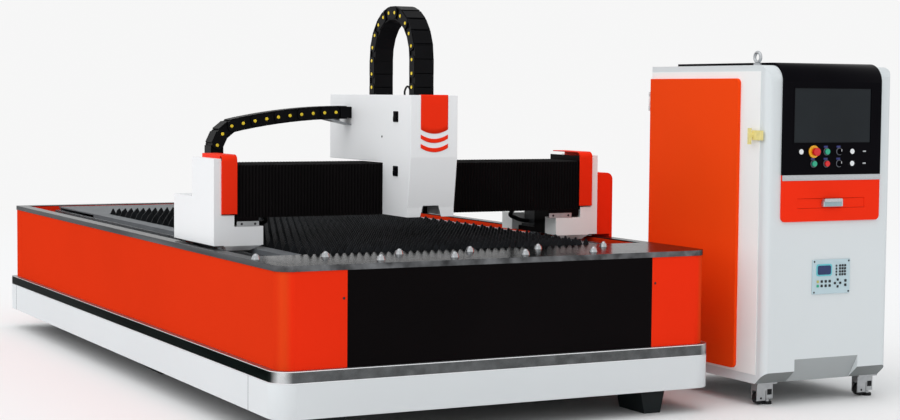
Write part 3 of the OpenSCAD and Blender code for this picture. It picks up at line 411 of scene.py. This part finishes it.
own_finish = {
    "left_end_housing": "cover_white_with_painted_light", "right_end_housing": "door_white_with_painted_light", "side_door": "door_white_with_painted_light",
    "carriage_cover": "carriage_white_with_painted_light", "cabinet_shell": "cabinet_white_with_painted_shade_under",
    "left_end_cap": "cap_orange_with_painted_light", "right_end_cap": "cap_orange_with_painted_light", "chain_arm": "cap_orange_with_painted_light",
    "drawer_panel": "cap_orange_with_painted_light", "keyboard_drawer": "cap_orange_with_painted_light", "door_panel": "cabinet_orange_with_painted_light",
    "levelling_feet": "foot_iron", "ball_units": "ball_chrome", "trim_band": "band_steel_with_painted_reflections",
    "beam": "black_paint", "lifting_eye": "silver",
}
unbevelled = {"y_guides", "slats", "left_pinion", "right_pinion", "ball_units", "lifting_eye", "nozzle",
              "cutting_head"}
EDGE_MM = 1.5
own_edge_mm = {
    "cabinet_shell": 2.5, "drawer_panel": 2.5, "fascia": 2.0, "door_panel": 6.0, "carriage_cover": 5.0,
    "left_end_cap": 2.0, "right_end_cap": 2.0, "chain_arm": 4.0, "levelling_feet": 4.0,
}
WELD = 0.05 * MM


def dress_nodes():
    for part in frame["record"]["subparts"]:
        name = part["node"]
        node = nodes[name]
        node.data.materials.clear()
        node.data.materials.append(finishes[own_finish.get(name, part["material_slot"])])
        if name not in unbevelled:
            weld = node.modifiers.new("weld", "WELD")
            weld.merge_threshold = WELD
            soften(node, own_edge_mm.get(name, EDGE_MM) * MM)


dress_nodes()


# Bellows

PLEAT, PLEAT_DEPTH = 17 * MM, 9 * MM
CLOTH_T = 1.5 * MM


def bellows(name, node, outer_sign):
    """Pleated cloth over the beam's front and top, from the end cap to the carriage."""
    low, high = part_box(node)
    corner, lap, hem = 14 * MM, 6 * MM, 16 * MM
    x0, x1 = (low.x - lap, high.x) if outer_sign < 0 else (low.x, high.x + lap)
    front, top, rear = low.y, high.z, high.y
    # The section's points: y, z and the share of the pleat's depth
    path = [(front + hem, low.z, 0.0), (front + 2 * MM, low.z, 0.4), (front, low.z + 3 * MM, 1.0)]
    path.append((front, (low.z + top) / 2, 1.0))
    path += [(y, z, 1.0) for y, z in arc(Vector((front + corner, top - corner)), corner, 180, 90, 4)]
    path += [((front + rear) / 2, top, 1.0), (rear, top, 1.0), (rear, top - hem, 0.0)]
    steps = 4 * round((x1 - x0) / PLEAT)
    mesh = bmesh.new()
    rows = []
    for i in range(steps + 1):
        x = x0 + (x1 - x0) * i / steps
        fold = PLEAT_DEPTH * (0.5 - 0.5 * math.cos(math.pi * i / 2))
        row = []
        for y, z, share in path:
            back = 0 if z > top - corner / 2 else fold * share
            down = 0 if y < front + corner / 2 else fold * share
            row.append(mesh.verts.new((x, y + back, z - down)))
        rows.append(row)
    add_sheet(mesh, rows)
    made = piece(name, mesh, finishes["bellows_cloth"])
    thicken(made, CLOTH_T)
    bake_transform(made)
    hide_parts(node)


bellows("left_bellows_cloth", "left_bellows", -1)
bellows("right_bellows_cloth", "right_bellows", 1)


# Cable chains

LINK_H = 60 * MM
LINK_PITCH, BEND_PITCH = 66 * MM, 64 * MM
LINK_WALL, LINK_GAP = 8 * MM, 1 * MM
PIVOT_R = 8.5 * MM


def chain(name, centres, place, w0, w1, node, joined=False):
    """Links along centre points: overlapping side plates, lids and webs across both faces, and pivot dots.
    A joined chain starts inside the outer plates of another's first link, and shares its pivot."""
    mesh = bmesh.new()
    half = LINK_H / 2
    lap, margin, plate_round = 20 * MM, 2 * MM, 19 * MM
    lid_in, lid_out = 3.5 * MM, 3 * MM
    web_depth, web_half = 6 * MM, 1.5 * MM
    pivots = []
    for i, (a, b) in enumerate(zip(centres, centres[1:])):
        along = (b - a).normalized()
        side = Vector((-along.y, along.x))
        pitch = (b - a).length

        def put(u, v, w, a=a, along=along, side=side):
            p = a + along * u + side * v
            return place(p.x, p.y, w)

        inset = LINK_WALL + LINK_GAP if (i + joined) % 2 else 0
        plate = rounded(-lap, margin - half, pitch + lap, half - margin, plate_round, 4)
        add_prism(mesh, plate, put, w0 + inset, w0 + inset + LINK_WALL)
        add_prism(mesh, plate, put, w1 - inset - LINK_WALL, w1 - inset)
        for face in (-half, half):
            lid = rounded(0.02 * pitch, face - lid_in, 0.98 * pitch, face + lid_out, 2 * MM, 2)
            add_prism(mesh, lid, put, w0 + 3 * MM, w1 - 3 * MM)
            level = face - math.copysign(web_depth, face)
            web = rounded(-0.1 * pitch, level - web_half, 1.1 * pitch, level + web_half, 1 * MM, 2)
            add_prism(mesh, web, put, w0 + 2 * LINK_WALL, w1 - 2 * LINK_WALL)
        if i or not joined:
            pivots.append((put(0, 0, w0), put(0, 0, w1)))
    plain = len(mesh.faces)
    across = (place(0, 0, 1) - place(0, 0, 0)).normalized()
    dot = [(PIVOT_R, -1 * MM), (PIVOT_R, 1.5 * MM), (PIVOT_R * 0.75, 2.5 * MM)]
    for near, far in pivots:
        add_lathe(mesh, dot, near, -across, 12)
        add_lathe(mesh, dot, far, across, 12)
    mesh.faces.ensure_lookup_table()
    for f in mesh.faces[plain:]:
        f.material_index = 1
    colors = [finishes["chain_plastic"], finishes["pivot_yellow"]]
    made = piece(name, mesh, colors, bevel=1.2 * MM)
    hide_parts(node)
    return made


def spaced(points, pitch):
    """Points at an even spacing, close to pitch, along a polyline."""
    lengths = [(b - a).length for a, b in zip(points, points[1:])]
    total = sum(lengths)
    count = round(total / pitch)
    out, i, passed = [], 0, 0.0
    for k in range(count + 1):
        want = min(total * k / count, total - 1e-9)
        while passed + lengths[i] < want:
            passed += lengths[i]
            i += 1
        out.append(points[i].lerp(points[i + 1], (want - passed) / lengths[i]))
    return out


# The chains' ends stay this far inside their solids
END_GAP, RUN_END_GAP = 4 * MM, 24 * MM

low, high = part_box("loop_chain")
loop_r = (high.y - low.y - LINK_H) / 2
loop_c = Vector(((low.y + high.y) / 2, high.z - loop_r - LINK_H / 2))
loop_path = [Vector((loop_c.x - loop_r, low.z + END_GAP))] + arc(loop_c, loop_r, 180, 0, 60)
loop_path.append(Vector((loop_c.x + loop_r, low.z + END_GAP)))
loop = chain("loop_chain_links", spaced(loop_path, LINK_PITCH), across_x, low.x, high.x, "loop_chain")
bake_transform(loop)

low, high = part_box("beam_chain_bend")
bend_r = (high.z - low.z - LINK_H) / 2
bend_c = Vector((low.x + bend_r + LINK_H / 2, (low.z + high.z) / 2))
bend_path = arc(bend_c, bend_r, 90, 270, 50) + [Vector((high.x - END_GAP, bend_c.y - bend_r))]
bend_links = spaced(bend_path, BEND_PITCH)
bend = chain("beam_chain_bend_links", bend_links, across_y, low.y, high.y, "beam_chain_bend")
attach(bend, "chain_bend")

low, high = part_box("beam_chain")
run_start = Vector((bend_c.x, bend_c.y + bend_r))
run_l = high.x - RUN_END_GAP - run_start.x
run_rise = high.z - LINK_H / 2 - run_start.y
shares = [k / 40 for k in range(41)]
run_path = [run_start + Vector((t * run_l, run_rise * t * (2 - t))) for t in shares]
run_links = spaced(run_path, LINK_PITCH)
run = chain("beam_chain_links", run_links, across_y, low.y, high.y, "beam_chain", joined=True)
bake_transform(run)


# Carriage cover's trim

cover_low, cover_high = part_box("carriage_cover")
cover_x = (cover_low.x + cover_high.x) / 2


def badge():
    """Raised orange shield that turns over the cover's top edge, with two stripes below it."""
    half, edge, out = 74 * MM, 6 * MM, 1.5 * MM
    front, top = cover_low.y, cover_high.z
    side_z, dip = top - 166 * MM, 21 * MM
    stripe, stripe_drops = 20 * MM, (25 * MM, 70 * MM)
    columns, rows = 24, 6
    mesh = bmesh.new()

    def strip(upper, lower, lead):
        grid = []
        for i in range(columns + 1):
            s = 2 * i / columns - 1
            zu, zl = upper(s), lower(s)
            face = [(front - out, zu + (zl - zu) * k / rows) for k in range(rows + 1)]
            grid.append([mesh.verts.new((cover_x + half * s, y, z)) for y, z in lead + face])
        add_sheet(mesh, grid)

    def curve(z):
        return lambda s: z - dip * (1 - s * s)

    turn = [(front + 18 * MM, top + out)]
    turn += arc(Vector((front + edge, top - edge)), edge + out, 90, 165, 5)
    strip(lambda s: top - edge, curve(side_z), turn)
    for drop in stripe_drops:
        strip(curve(side_z - drop), curve(side_z - drop - stripe), [])
    made = piece("carriage_badge", mesh, finishes["cap_orange_with_painted_light"], "carriage", smooth=True)
    thicken(made, 1.5 * MM)


def latch(name, y, z0, z1):
    """Black latch on the cover's left side: a plate with two raised pads."""
    mesh = bmesh.new()
    x = cover_low.x
    middle, margin = (z0 + z1) / 2, 6 * MM

    def pad(half, low, high, radius, back, proud):
        outline = rounded(y - half, low, y + half, high, radius)
        add_prism(mesh, outline, across_x, x - proud, x - back)

    pad(26 * MM, z0, z1, 5 * MM, -1 * MM, 4 * MM)
    pad(18 * MM, z0 + margin, middle, 3 * MM, 3 * MM, 9 * MM)
    pad(14 * MM, middle + 4 * MM, z1 - margin, 3 * MM, 3 * MM, 7 * MM)
    piece(name, mesh, finishes["fascia_black"], "carriage", bevel=1 * MM)


def cover_screws():
    """One screw on each side of the cover."""
    back, drop = 325 * MM, 208 * MM
    for side, x, sign in (("left", cover_low.x, -1), ("right", cover_high.x, 1)):
        place = (x, cover_low.y + back, cover_high.z - drop)
        screws(side + "_cover_screw", [place], (sign, 0, 0), "carriage")


badge()
LATCH_BACK = 165 * MM
latch_y = cover_low.y + LATCH_BACK
latch("carriage_latch_upper", latch_y, cover_high.z - 133 * MM, cover_high.z - 80 * MM)
latch("carriage_latch_lower", latch_y, cover_high.z - 399 * MM, cover_high.z - 349 * MM)
cover_screws()


# Plates that hold the bellows' lower edge at both ends

def bellows_plates():
    """Black frames at the bellows' outer ends, with bright plates screwed over their lower edges."""
    low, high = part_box("right_bellows")
    front = low.y
    frame_low, frame_high = low.z - 36 * MM, low.z + 2 * MM
    plate_low, plate_high = low.z - 42 * MM, low.z - 17 * MM
    screw_z = (plate_low + plate_high) / 2
    frames, plates, places = bmesh.new(), bmesh.new(), []
    for sign, inner, outer in ((-1, 117 * MM, 3 * MM), (1, 182 * MM, 45 * MM)):
        x0, x1 = sorted((sign * (high.x - inner), sign * high.x))
        outline = rounded(x0, frame_low, x1, frame_high, 2 * MM)
        add_prism(frames, outline, across_y, front + 2 * MM, front + 8 * MM)
        x0, x1 = sorted((sign * (high.x - inner), sign * (high.x - outer)))
        outline = rounded(x0, plate_low, x1, plate_high, 3 * MM)
        add_prism(plates, outline, across_y, front - 1 * MM, front + 2 * MM)
        add_box(plates, (x0, front, plate_low), (x1, front + 30 * MM, plate_low + 2.5 * MM))
        places += [(x, front - 1 * MM, screw_z) for x in (x0 + 25 * MM, x1 - 20 * MM)]
    piece("bellows_frames", frames, finishes["black_paint"], "gantry", bevel=0.6 * MM)
    piece("bellows_plates", plates, finishes["caster_metal"], "gantry", bevel=0.6 * MM)
    screws("bellows_plate_screws", places, TOWARD_FRONT, "gantry")


bellows_plates()


# Skirt

def skirt_seam_shade_strips():
    """Grey strips over the joints of the skirt's sheets, where the end sheets wrap round the corners:
    painted shade in place of the shadow in the narrow gaps.
    """
    low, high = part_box("skirt_panels")
    front_wrap, rear_wrap = 330 * MM, 120 * MM
    strip_half = Vector((0.4, 1.5, 0)) * MM
    margin = 1 * MM
    mesh = bmesh.new()
    for x in (low.x, high.x):
        for y in (low.y + front_wrap, high.y - rear_wrap):
            foot, head = Vector((x, y, low.z + margin)), Vector((x, y, high.z - margin))
            add_box(mesh, foot - strip_half, head + strip_half)
    piece("skirt_seam_shade_strips", mesh, finishes["seal_grey"], "bed")


skirt_seam_shade_strips()


# Chain bracket, leads and hose

def bracket():
    """Square end piece of the beam chain, and the sloping plate under it on the cover's side."""
    low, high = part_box("beam_chain")
    x, z = cover_low.x, high.z - LINK_H - 3 * MM
    end_l = 62 * MM
    end = bmesh.new()
    outline = rounded(x - end_l, z + 4 * MM, x - 0.5 * MM, z + LINK_H + 2 * MM, 3 * MM)
    add_prism(end, outline, across_y, low.y - 1 * MM, high.y + 1 * MM)
    piece("chain_end", end, finishes["chain_plastic"], "carriage", bevel=1 * MM)
    slope = mm(((-140, 0), (-140, -4), (0, -34), (0, -28), (-62, -12), (-62, 4), (-68, 4), (-70, -10),
                (-118, 0)))
    mesh = bmesh.new()
    add_prism(mesh, [(x + u, z + v) for u, v in slope], across_y, low.y + 4 * MM, high.y - 4 * MM)
    piece("chain_bracket", mesh, finishes["machined"], "carriage", bevel=1 * MM)


def smooth_path(points, steps=14):
    """Catmull-Rom curve through points."""
    points = [Vector(p) for p in points]
    ends = [2 * points[0] - points[1]] + points + [2 * points[-1] - points[-2]]
    out = []
    for p0, p1, p2, p3 in zip(ends, ends[1:], ends[2:], ends[3:]):
        for k in range(steps):
            t = k / steps
            out.append(0.5 * (2 * p1 + (p2 - p0) * t + (2 * p0 - 5 * p1 + 4 * p2 - p3) * t * t
                              + (3 * p1 - p0 - 3 * p2 + p3) * t ** 3))
    return out + [points[-1]]


def cable(name, points, radius, body):
    """A lead fixed at both ends, as a mesh tube along a smooth path."""
    path = smooth_path(points)
    mesh = bmesh.new()
    steps = 12
    angles = [2 * math.pi * k / steps for k in range(steps)]
    rings = []
    across = None
    for i, p in enumerate(path):
        along = (path[min(i + 1, len(path) - 1)] - path[max(i - 1, 0)]).normalized()
        if across is None:
            across = along.orthogonal().normalized()
        across = (across - along * across.dot(along)).normalized()
        other = along.cross(across)
        ring = [p + radius * (across * math.cos(a) + other * math.sin(a)) for a in angles]
        rings.append([mesh.verts.new(point) for point in ring])
    add_skin(mesh, rings)
    made = piece(name, mesh, finishes["wheel_rubber"], body, smooth=True)


LEAD_R, HOSE_R = 11 * MM, 5 * MM


def motor_leads():
    """Leads from under the beam to the two servo motors."""
    motor_low, motor_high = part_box("y_motors")
    motor_y, motor_w = (motor_low.y + motor_high.y) / 2, motor_high.y - motor_low.y
    motor_x = motor_high.x - motor_w
    cloth_low, cloth_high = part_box("right_bellows")
    for side, sign in (("left", -1), ("right", 1)):
        start = Vector((sign * (motor_x - 135 * MM), cloth_high.y - 40 * MM, cloth_low.z + 8 * MM))
        points = [start, start + Vector((-sign * 0.03, 0.01, -0.045)),
                  start + Vector((sign * 0.02, 0.05, -0.065)),
                  (sign * (motor_x - 0.045), motor_y, motor_low.z + 0.035),
                  (sign * (motor_x + 0.003), motor_y, motor_low.z + 0.03)]
        cable(side + "_motor_lead", points, LEAD_R, "gantry")


def head_hose():
    """Hose that bows over the cover's top beside the loop chain."""
    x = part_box("loop_chain")[0].x + 12 * MM
    y = loop_c.x - loop_r + LINK_H / 2 + 14 * MM
    top = cover_high.z
    points = [(x, y + 0.055, top - 0.01), (x, y + 0.055, top + 0.02), (x, y + 0.028, top + 0.042),
              (x, y, top + 0.03), (x, y - 0.004, top - 0.01)]
    cable("head_hose", points, HOSE_R, "carriage")


bracket()
motor_leads()
head_hose()


# Cabinet front

panel_low, panel_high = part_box("drawer_panel")
face_y = panel_low.y - 2 * MM


def cabinet_trim():
    """Metal strip between fascia and drawer panel, and a thin frame round the screen."""
    mesh = bmesh.new()
    strip_h = 28 * MM
    outline = rounded(panel_low.x, panel_high.z - strip_h, panel_high.x, panel_high.z, 2 * MM)
    add_prism(mesh, outline, across_y, panel_low.y - 2.5 * MM, panel_low.y + 2 * MM)
    piece("cabinet_strip", mesh, finishes["silver"], "bed", bevel=1 * MM)
    mesh = bmesh.new()
    ring, proud = 7 * MM, 1.2 * MM
    y0, y1 = face_y - proud, face_y + 3 * MM
    inner_low, inner_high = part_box("screen")
    low, high = inner_low - Vector((ring, 0, ring)), inner_high + Vector((ring, 0, ring))
    add_box(mesh, (low.x, y0, low.z), (high.x, y1, inner_low.z))
    add_box(mesh, (low.x, y0, inner_high.z), (high.x, y1, high.z))
    add_box(mesh, (low.x, y0, inner_low.z), (inner_low.x, y1, inner_high.z))
    add_box(mesh, (inner_high.x, y0, inner_low.z), (high.x, y1, inner_high.z))
    piece("screen_frame", mesh, finishes["fascia_black"], "bed", bevel=0.8 * MM)


def drawer_pull():
    """Bright hood and grey cup over the drawer's handle."""
    low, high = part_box("keyboard_drawer")
    middle, half = (low.x + high.x) / 2, 57 * MM
    y = low.y
    z0, z1 = low.z + 7 * MM, high.z - 1 * MM
    hood_z, cup_z = z1 - 17 * MM, z1 - 12 * MM
    wall = 4 * MM
    hood, cup = bmesh.new(), bmesh.new()
    outline = rounded(middle - half, hood_z, middle + half, z1, 6 * MM)
    add_prism(hood, outline, across_y, y - 7 * MM, y + 14 * MM)
    for x in (middle - half, middle + half):
        add_box(hood, (x - wall, y - 3 * MM, z0), (x + wall, y + 15 * MM, cup_z))
    inset = 3 * MM
    add_box(cup, (middle - half + inset, y - 1.5 * MM, z0), (middle + half - inset, y + 2 * MM, cup_z))
    piece("drawer_pull", hood, finishes["silver"], "drawer", bevel=1.5 * MM)
    piece("drawer_cup", cup, finishes["cup_grey"], "drawer", bevel=0.5 * MM)


def on_face(node):
    """The middle of a control, on the fascia's face."""
    low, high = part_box(node)
    return Vector(((low.x + high.x) / 2, face_y, (low.z + high.z) / 2))


KNOBS = ("mode_knob", "light_knob")
stop_place = on_face("estop_button")
control_pitch = on_face("start_button").x - stop_place.x
upper_row, lower_row = stop_place.z, on_face("laser_button").z


def control_trim():
    """Bezels and label plates of the buttons and knobs, and the emergency stop's collar."""
    bezel = mm(((19, -1), (19, 2), (17.5, 3.5), (15.5, 3.5), (15.5, -1)))
    collar = mm(((31, -1), (31, 4), (28.5, 6), (15, 6), (15, 4)))
    label_low, label_high = Vector((-17, -0.8, 19)) * MM, Vector((7, 1, 29)) * MM
    bezels, labels, ring = bmesh.new(), bmesh.new(), bmesh.new()
    for node in ("start_button", "laser_button", "stop_button", *KNOBS):
        place = on_face(node)
        add_lathe(bezels, bezel, place, TOWARD_FRONT)
        add_box(labels, place + label_low, place + label_high)
    piece("control_bezels", bezels, finishes["bezel_grey"], "bed")
    piece("control_labels", labels, finishes["label_blue"], "bed", bevel=0.5 * MM)
    add_lathe(ring, collar, stop_place, TOWARD_FRONT, 40)
    piece("estop_collar", ring, finishes["collar_yellow"], "bed")


def panel_sockets():
    """White sockets in both rows of the controls, and a port at each row's end."""
    socket = mm(((13, -1), (13, 5.6), (11.5, 6.8), (7, 6.8), (6, 5.2)))
    shell_low, shell_high = Vector((-10, 0, -3.5)) * MM, Vector((10, 0, 3.5)) * MM
    tongue_low, tongue_high = Vector((-8, -2.6, -1.2)) * MM, Vector((8, -1, 1.2)) * MM
    sockets, ports = bmesh.new(), bmesh.new()
    for column, z in ((-1, upper_row), (3, upper_row), (3, lower_row)):
        add_lathe(sockets, socket, (stop_place.x + column * control_pitch, face_y, z), TOWARD_FRONT)
    piece("panel_sockets", sockets, finishes["socket_white"], "bed")
    for z in (upper_row, lower_row):
        place = Vector((stop_place.x + 4 * control_pitch, face_y, z))
        low, high = place + shell_low, place + shell_high
        outline = rounded(low.x, low.z, high.x, high.z, 2 * MM)
        add_prism(ports, outline, across_y, face_y - 1.5 * MM, face_y + 1 * MM)
        add_box(ports, place + tongue_low, place + tongue_high)
    piece("panel_ports", ports, finishes["silver"], "bed", bevel=0.5 * MM)


def knob_marks():
    """White pointers on the selector knobs."""
    half = 1.2 * MM
    for node in KNOBS:
        low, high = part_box(node)
        x, z = on_face(node).x, on_face(node).z
        mark = bmesh.new()
        add_box(mark, (x - half, low.y - 0.6 * MM, z), (x + half, low.y + 1 * MM, high.z - 2 * MM))
        piece(node + "_mark", mark, finishes["socket_white"], node, bevel=0.3 * MM)


def keypad_trim():
    """Display, key caps and corner screws of the height controller."""
    low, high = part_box("keypad")
    y = low.y + 2 * MM

    def key(mesh, u, v, width, height, proud):
        """A cap at u, v from the keypad's lower left corner, in millimetres."""
        x0, z0 = low.x + u * MM, low.z + v * MM
        corner = 0.2 * min(width, height) * MM
        outline = rounded(x0, z0, x0 + width * MM, z0 + height * MM, corner, 3)
        add_prism(mesh, outline, across_y, y - proud * MM, y + 1 * MM)

    display, glass, dark, yellow, green = (bmesh.new() for _ in range(5))
    key(display, 21, 90, 98, 60, 2.4)
    key(glass, 28, 97, 84, 46, 3)
    for j in range(4):
        row = 89.5 + 15 * j
        key(dark, 143, row, 9, 10, 2.4)
        for i in range(3):
            key(dark, 164.5 + 16 * i, row, 11, 11, 2.8)
    for j, first in enumerate((green, yellow)):
        row = 34.5 + 22 * j
        key(first, 24.5, row, 13, 13, 2.9)
        for i in (1, 2, 3, 7):
            key(dark, 24.5 + 25 * i, row, 13, 13, 2.8)
    arrow_u, arrow_v, step = 150.5, 46, 17
    for du, dv in ((0, step), (0, -step), (step, 0), (-step, 0)):
        key(dark, arrow_u + du, arrow_v + dv, 12, 12, 2.8)
    for name, mesh, look in (("display", display, "lcd_teal"), ("glass", glass, "lcd_blue"),
                             ("keys", dark, "frame_paint"), ("yellow_key", yellow, "key_olive"),
                             ("green_key", green, "green_plastic")):
        piece("keypad_" + name, mesh, finishes[look], "bed", bevel=0.4 * MM)
    inset = 9 * MM
    corners = [(x, y, z) for x in (low.x + inset, high.x - inset) for z in (low.z + inset, high.z - inset)]
    screws("keypad_screws", corners, TOWARD_FRONT, "bed", 5 * MM)


def caster_trim():
    """Adjusting wheel in the body's window, and the rubber of the levelling pad."""
    floor_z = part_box("caster_bodies")[0].z
    pad = mm(((24.5, 0), (25.5, 2), (25.5, 12), (24.3, 14.5)))
    pad_out = 52 * MM
    adjuster_half = Vector((14, 24.5, 14)) * MM
    adjuster_z = floor_z + 64 * MM
    mesh = bmesh.new()
    for number in range(1, 5):
        low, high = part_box("caster_wheel_%d" % number)
        x, y = (low.x + high.x) / 2 + pad_out, (low.y + high.y) / 2
        add_lathe(mesh, pad, (x, y, floor_z + 0.2 * MM), (0, 0, 1), 24)
        adjuster = Vector((x, y, adjuster_z))
        add_box(mesh, adjuster - adjuster_half, adjuster + adjuster_half)
    piece("caster_trim", mesh, finishes["wheel_rubber"], "bed", bevel=0.8 * MM)


cabinet_trim()
caster_trim()
drawer_pull()
control_trim()
panel_sockets()
knob_marks()
keypad_trim()


# Bed trim

def panel_screws():
    """Screws beside the black panel, and one low on the right side."""
    side_low, side_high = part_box("right_side_panel")
    front_low, front_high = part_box("front_panel")
    front_y = side_low.y
    beside, drop = 18 * MM, 145 * MM
    xs = (front_low.x - beside, front_high.x + beside)
    screws("front_screws", [(x, front_y, front_high.z - drop) for x in xs], TOWARD_FRONT, "bed")
    back, up = 115 * MM, 130 * MM
    screws("right_side_screw", [(side_high.x, front_y + back, side_low.z + up)], (1, 0, 0), "bed")


panel_screws()


# Camera, stage and light

def camera():
    """The photograph's view, in metres and radians, with the lens and sensor in millimetres."""
    place = Vector((-4.0746, -9.5495, 1.5387))
    yaw, pitch, roll = -0.4788, -0.0634, 0.0083
    lens, sensor = 72.86, 36
    forward = Vector((-math.sin(yaw) * math.cos(pitch), math.cos(yaw) * math.cos(pitch), math.sin(pitch)))
    right = forward.cross(Vector((0, 0, 1))).normalized()
    up = right.cross(forward)
    tilted_right = right * math.cos(roll) + up * math.sin(roll)
    tilted_up = up * math.cos(roll) - right * math.sin(roll)
    data = bpy.data.cameras.new("camera")
    data.lens = lens
    data.sensor_width = sensor
    data.clip_end = 200
    made = bpy.data.objects.new("camera", data)
    turn = Matrix((tilted_right, tilted_up, -forward)).transposed()
    made.matrix_world = Matrix.Translation(place) @ turn.to_4x4()
    bpy.context.scene.collection.objects.link(made)
    bpy.context.scene.camera = made


BACKGROUND = (0.925, 0.925, 0.925, 1)


def seen(tree):
    """1 on rays that show a surface itself: from the camera, in a reflection or through glass."""
    rays = tree.nodes.new("ShaderNodeLightPath")
    total = rays.outputs["Is Camera Ray"]
    for kind in ("Is Glossy Ray", "Is Transmission Ray"):
        total = calculate(tree, "MAXIMUM", total, rays.outputs[kind])
    return total


def mix_shaders(tree, factor, a, b, output):
    """Show shader a where factor is 0 and b where it is 1."""
    blend = tree.nodes.new("ShaderNodeMixShader")
    tree.links.new(factor, blend.inputs["Fac"])
    tree.links.new(a.outputs[0], blend.inputs[1])
    tree.links.new(b.outputs[0], blend.inputs[2])
    tree.links.new(blend.outputs[0], tree.nodes[output].inputs["Surface"])


def floor():
    """Pale floor that turns into the plain background far from the object."""
    half_size, fade_start, fade_end = 150, 4, 14
    mesh = bmesh.new()
    bmesh.ops.create_grid(mesh, x_segments=1, y_segments=1, size=half_size)
    pale = finish("floor_pale", (0.90, 0.90, 0.90), 0.9, vary=0.004, patch=0.5, grain=20, bump=0, gloss=0.0)
    tree = pale.node_tree
    coords = tree.nodes.new("ShaderNodeTexCoord")
    away = tree.nodes.new("ShaderNodeVectorMath")
    away.operation = "LENGTH"
    tree.links.new(coords.outputs["Object"], away.inputs[0])
    far = map_range(tree, away.outputs["Value"], fade_start, fade_end, curve="SMOOTHSTEP")
    plain = tree.nodes.new("ShaderNodeEmission")
    plain.inputs["Color"].default_value = BACKGROUND
    share = calculate(tree, "MULTIPLY", far, seen(tree))
    mix_shaders(tree, share, tree.nodes["Principled BSDF"], plain, "Material Output")
    piece("floor", mesh, pale)


def sun(name, toward, strength, angle):
    data = bpy.data.lights.new(name, "SUN")
    data.energy = strength
    data.angle = math.radians(angle)
    made = bpy.data.objects.new(name, data)
    made.rotation_mode = "QUATERNION"
    made.rotation_quaternion = Vector(toward).normalized().to_track_quat("Z", "Y")
    bpy.context.scene.collection.objects.link(made)


def world():
    """Soft light all round, stronger from the left, and a plain pale background."""
    right_level, left_level = 0.5, 1.4
    made = bpy.data.worlds.new("studio")
    bpy.context.scene.world = made
    made.use_nodes = True
    tree = made.node_tree
    sky = tree.nodes["Background"]
    sky.inputs["Color"].default_value = (0.95, 0.96, 0.97, 1)
    coords = tree.nodes.new("ShaderNodeTexCoord")
    toward_x = component(tree, coords.outputs["Generated"], "X")
    tree.links.new(map_range(tree, toward_x, 1, -1, right_level, left_level), sky.inputs["Strength"])
    plain = tree.nodes.new("ShaderNodeBackground")
    plain.inputs["Color"].default_value = BACKGROUND
    mix_shaders(tree, seen(tree), sky, plain, "World Output")


camera()
floor()
sun("key", toward=(-0.30, -0.16, 0.55), strength=0.5, angle=60)
world()
bpy.context.scene.view_settings.view_transform = "Standard"
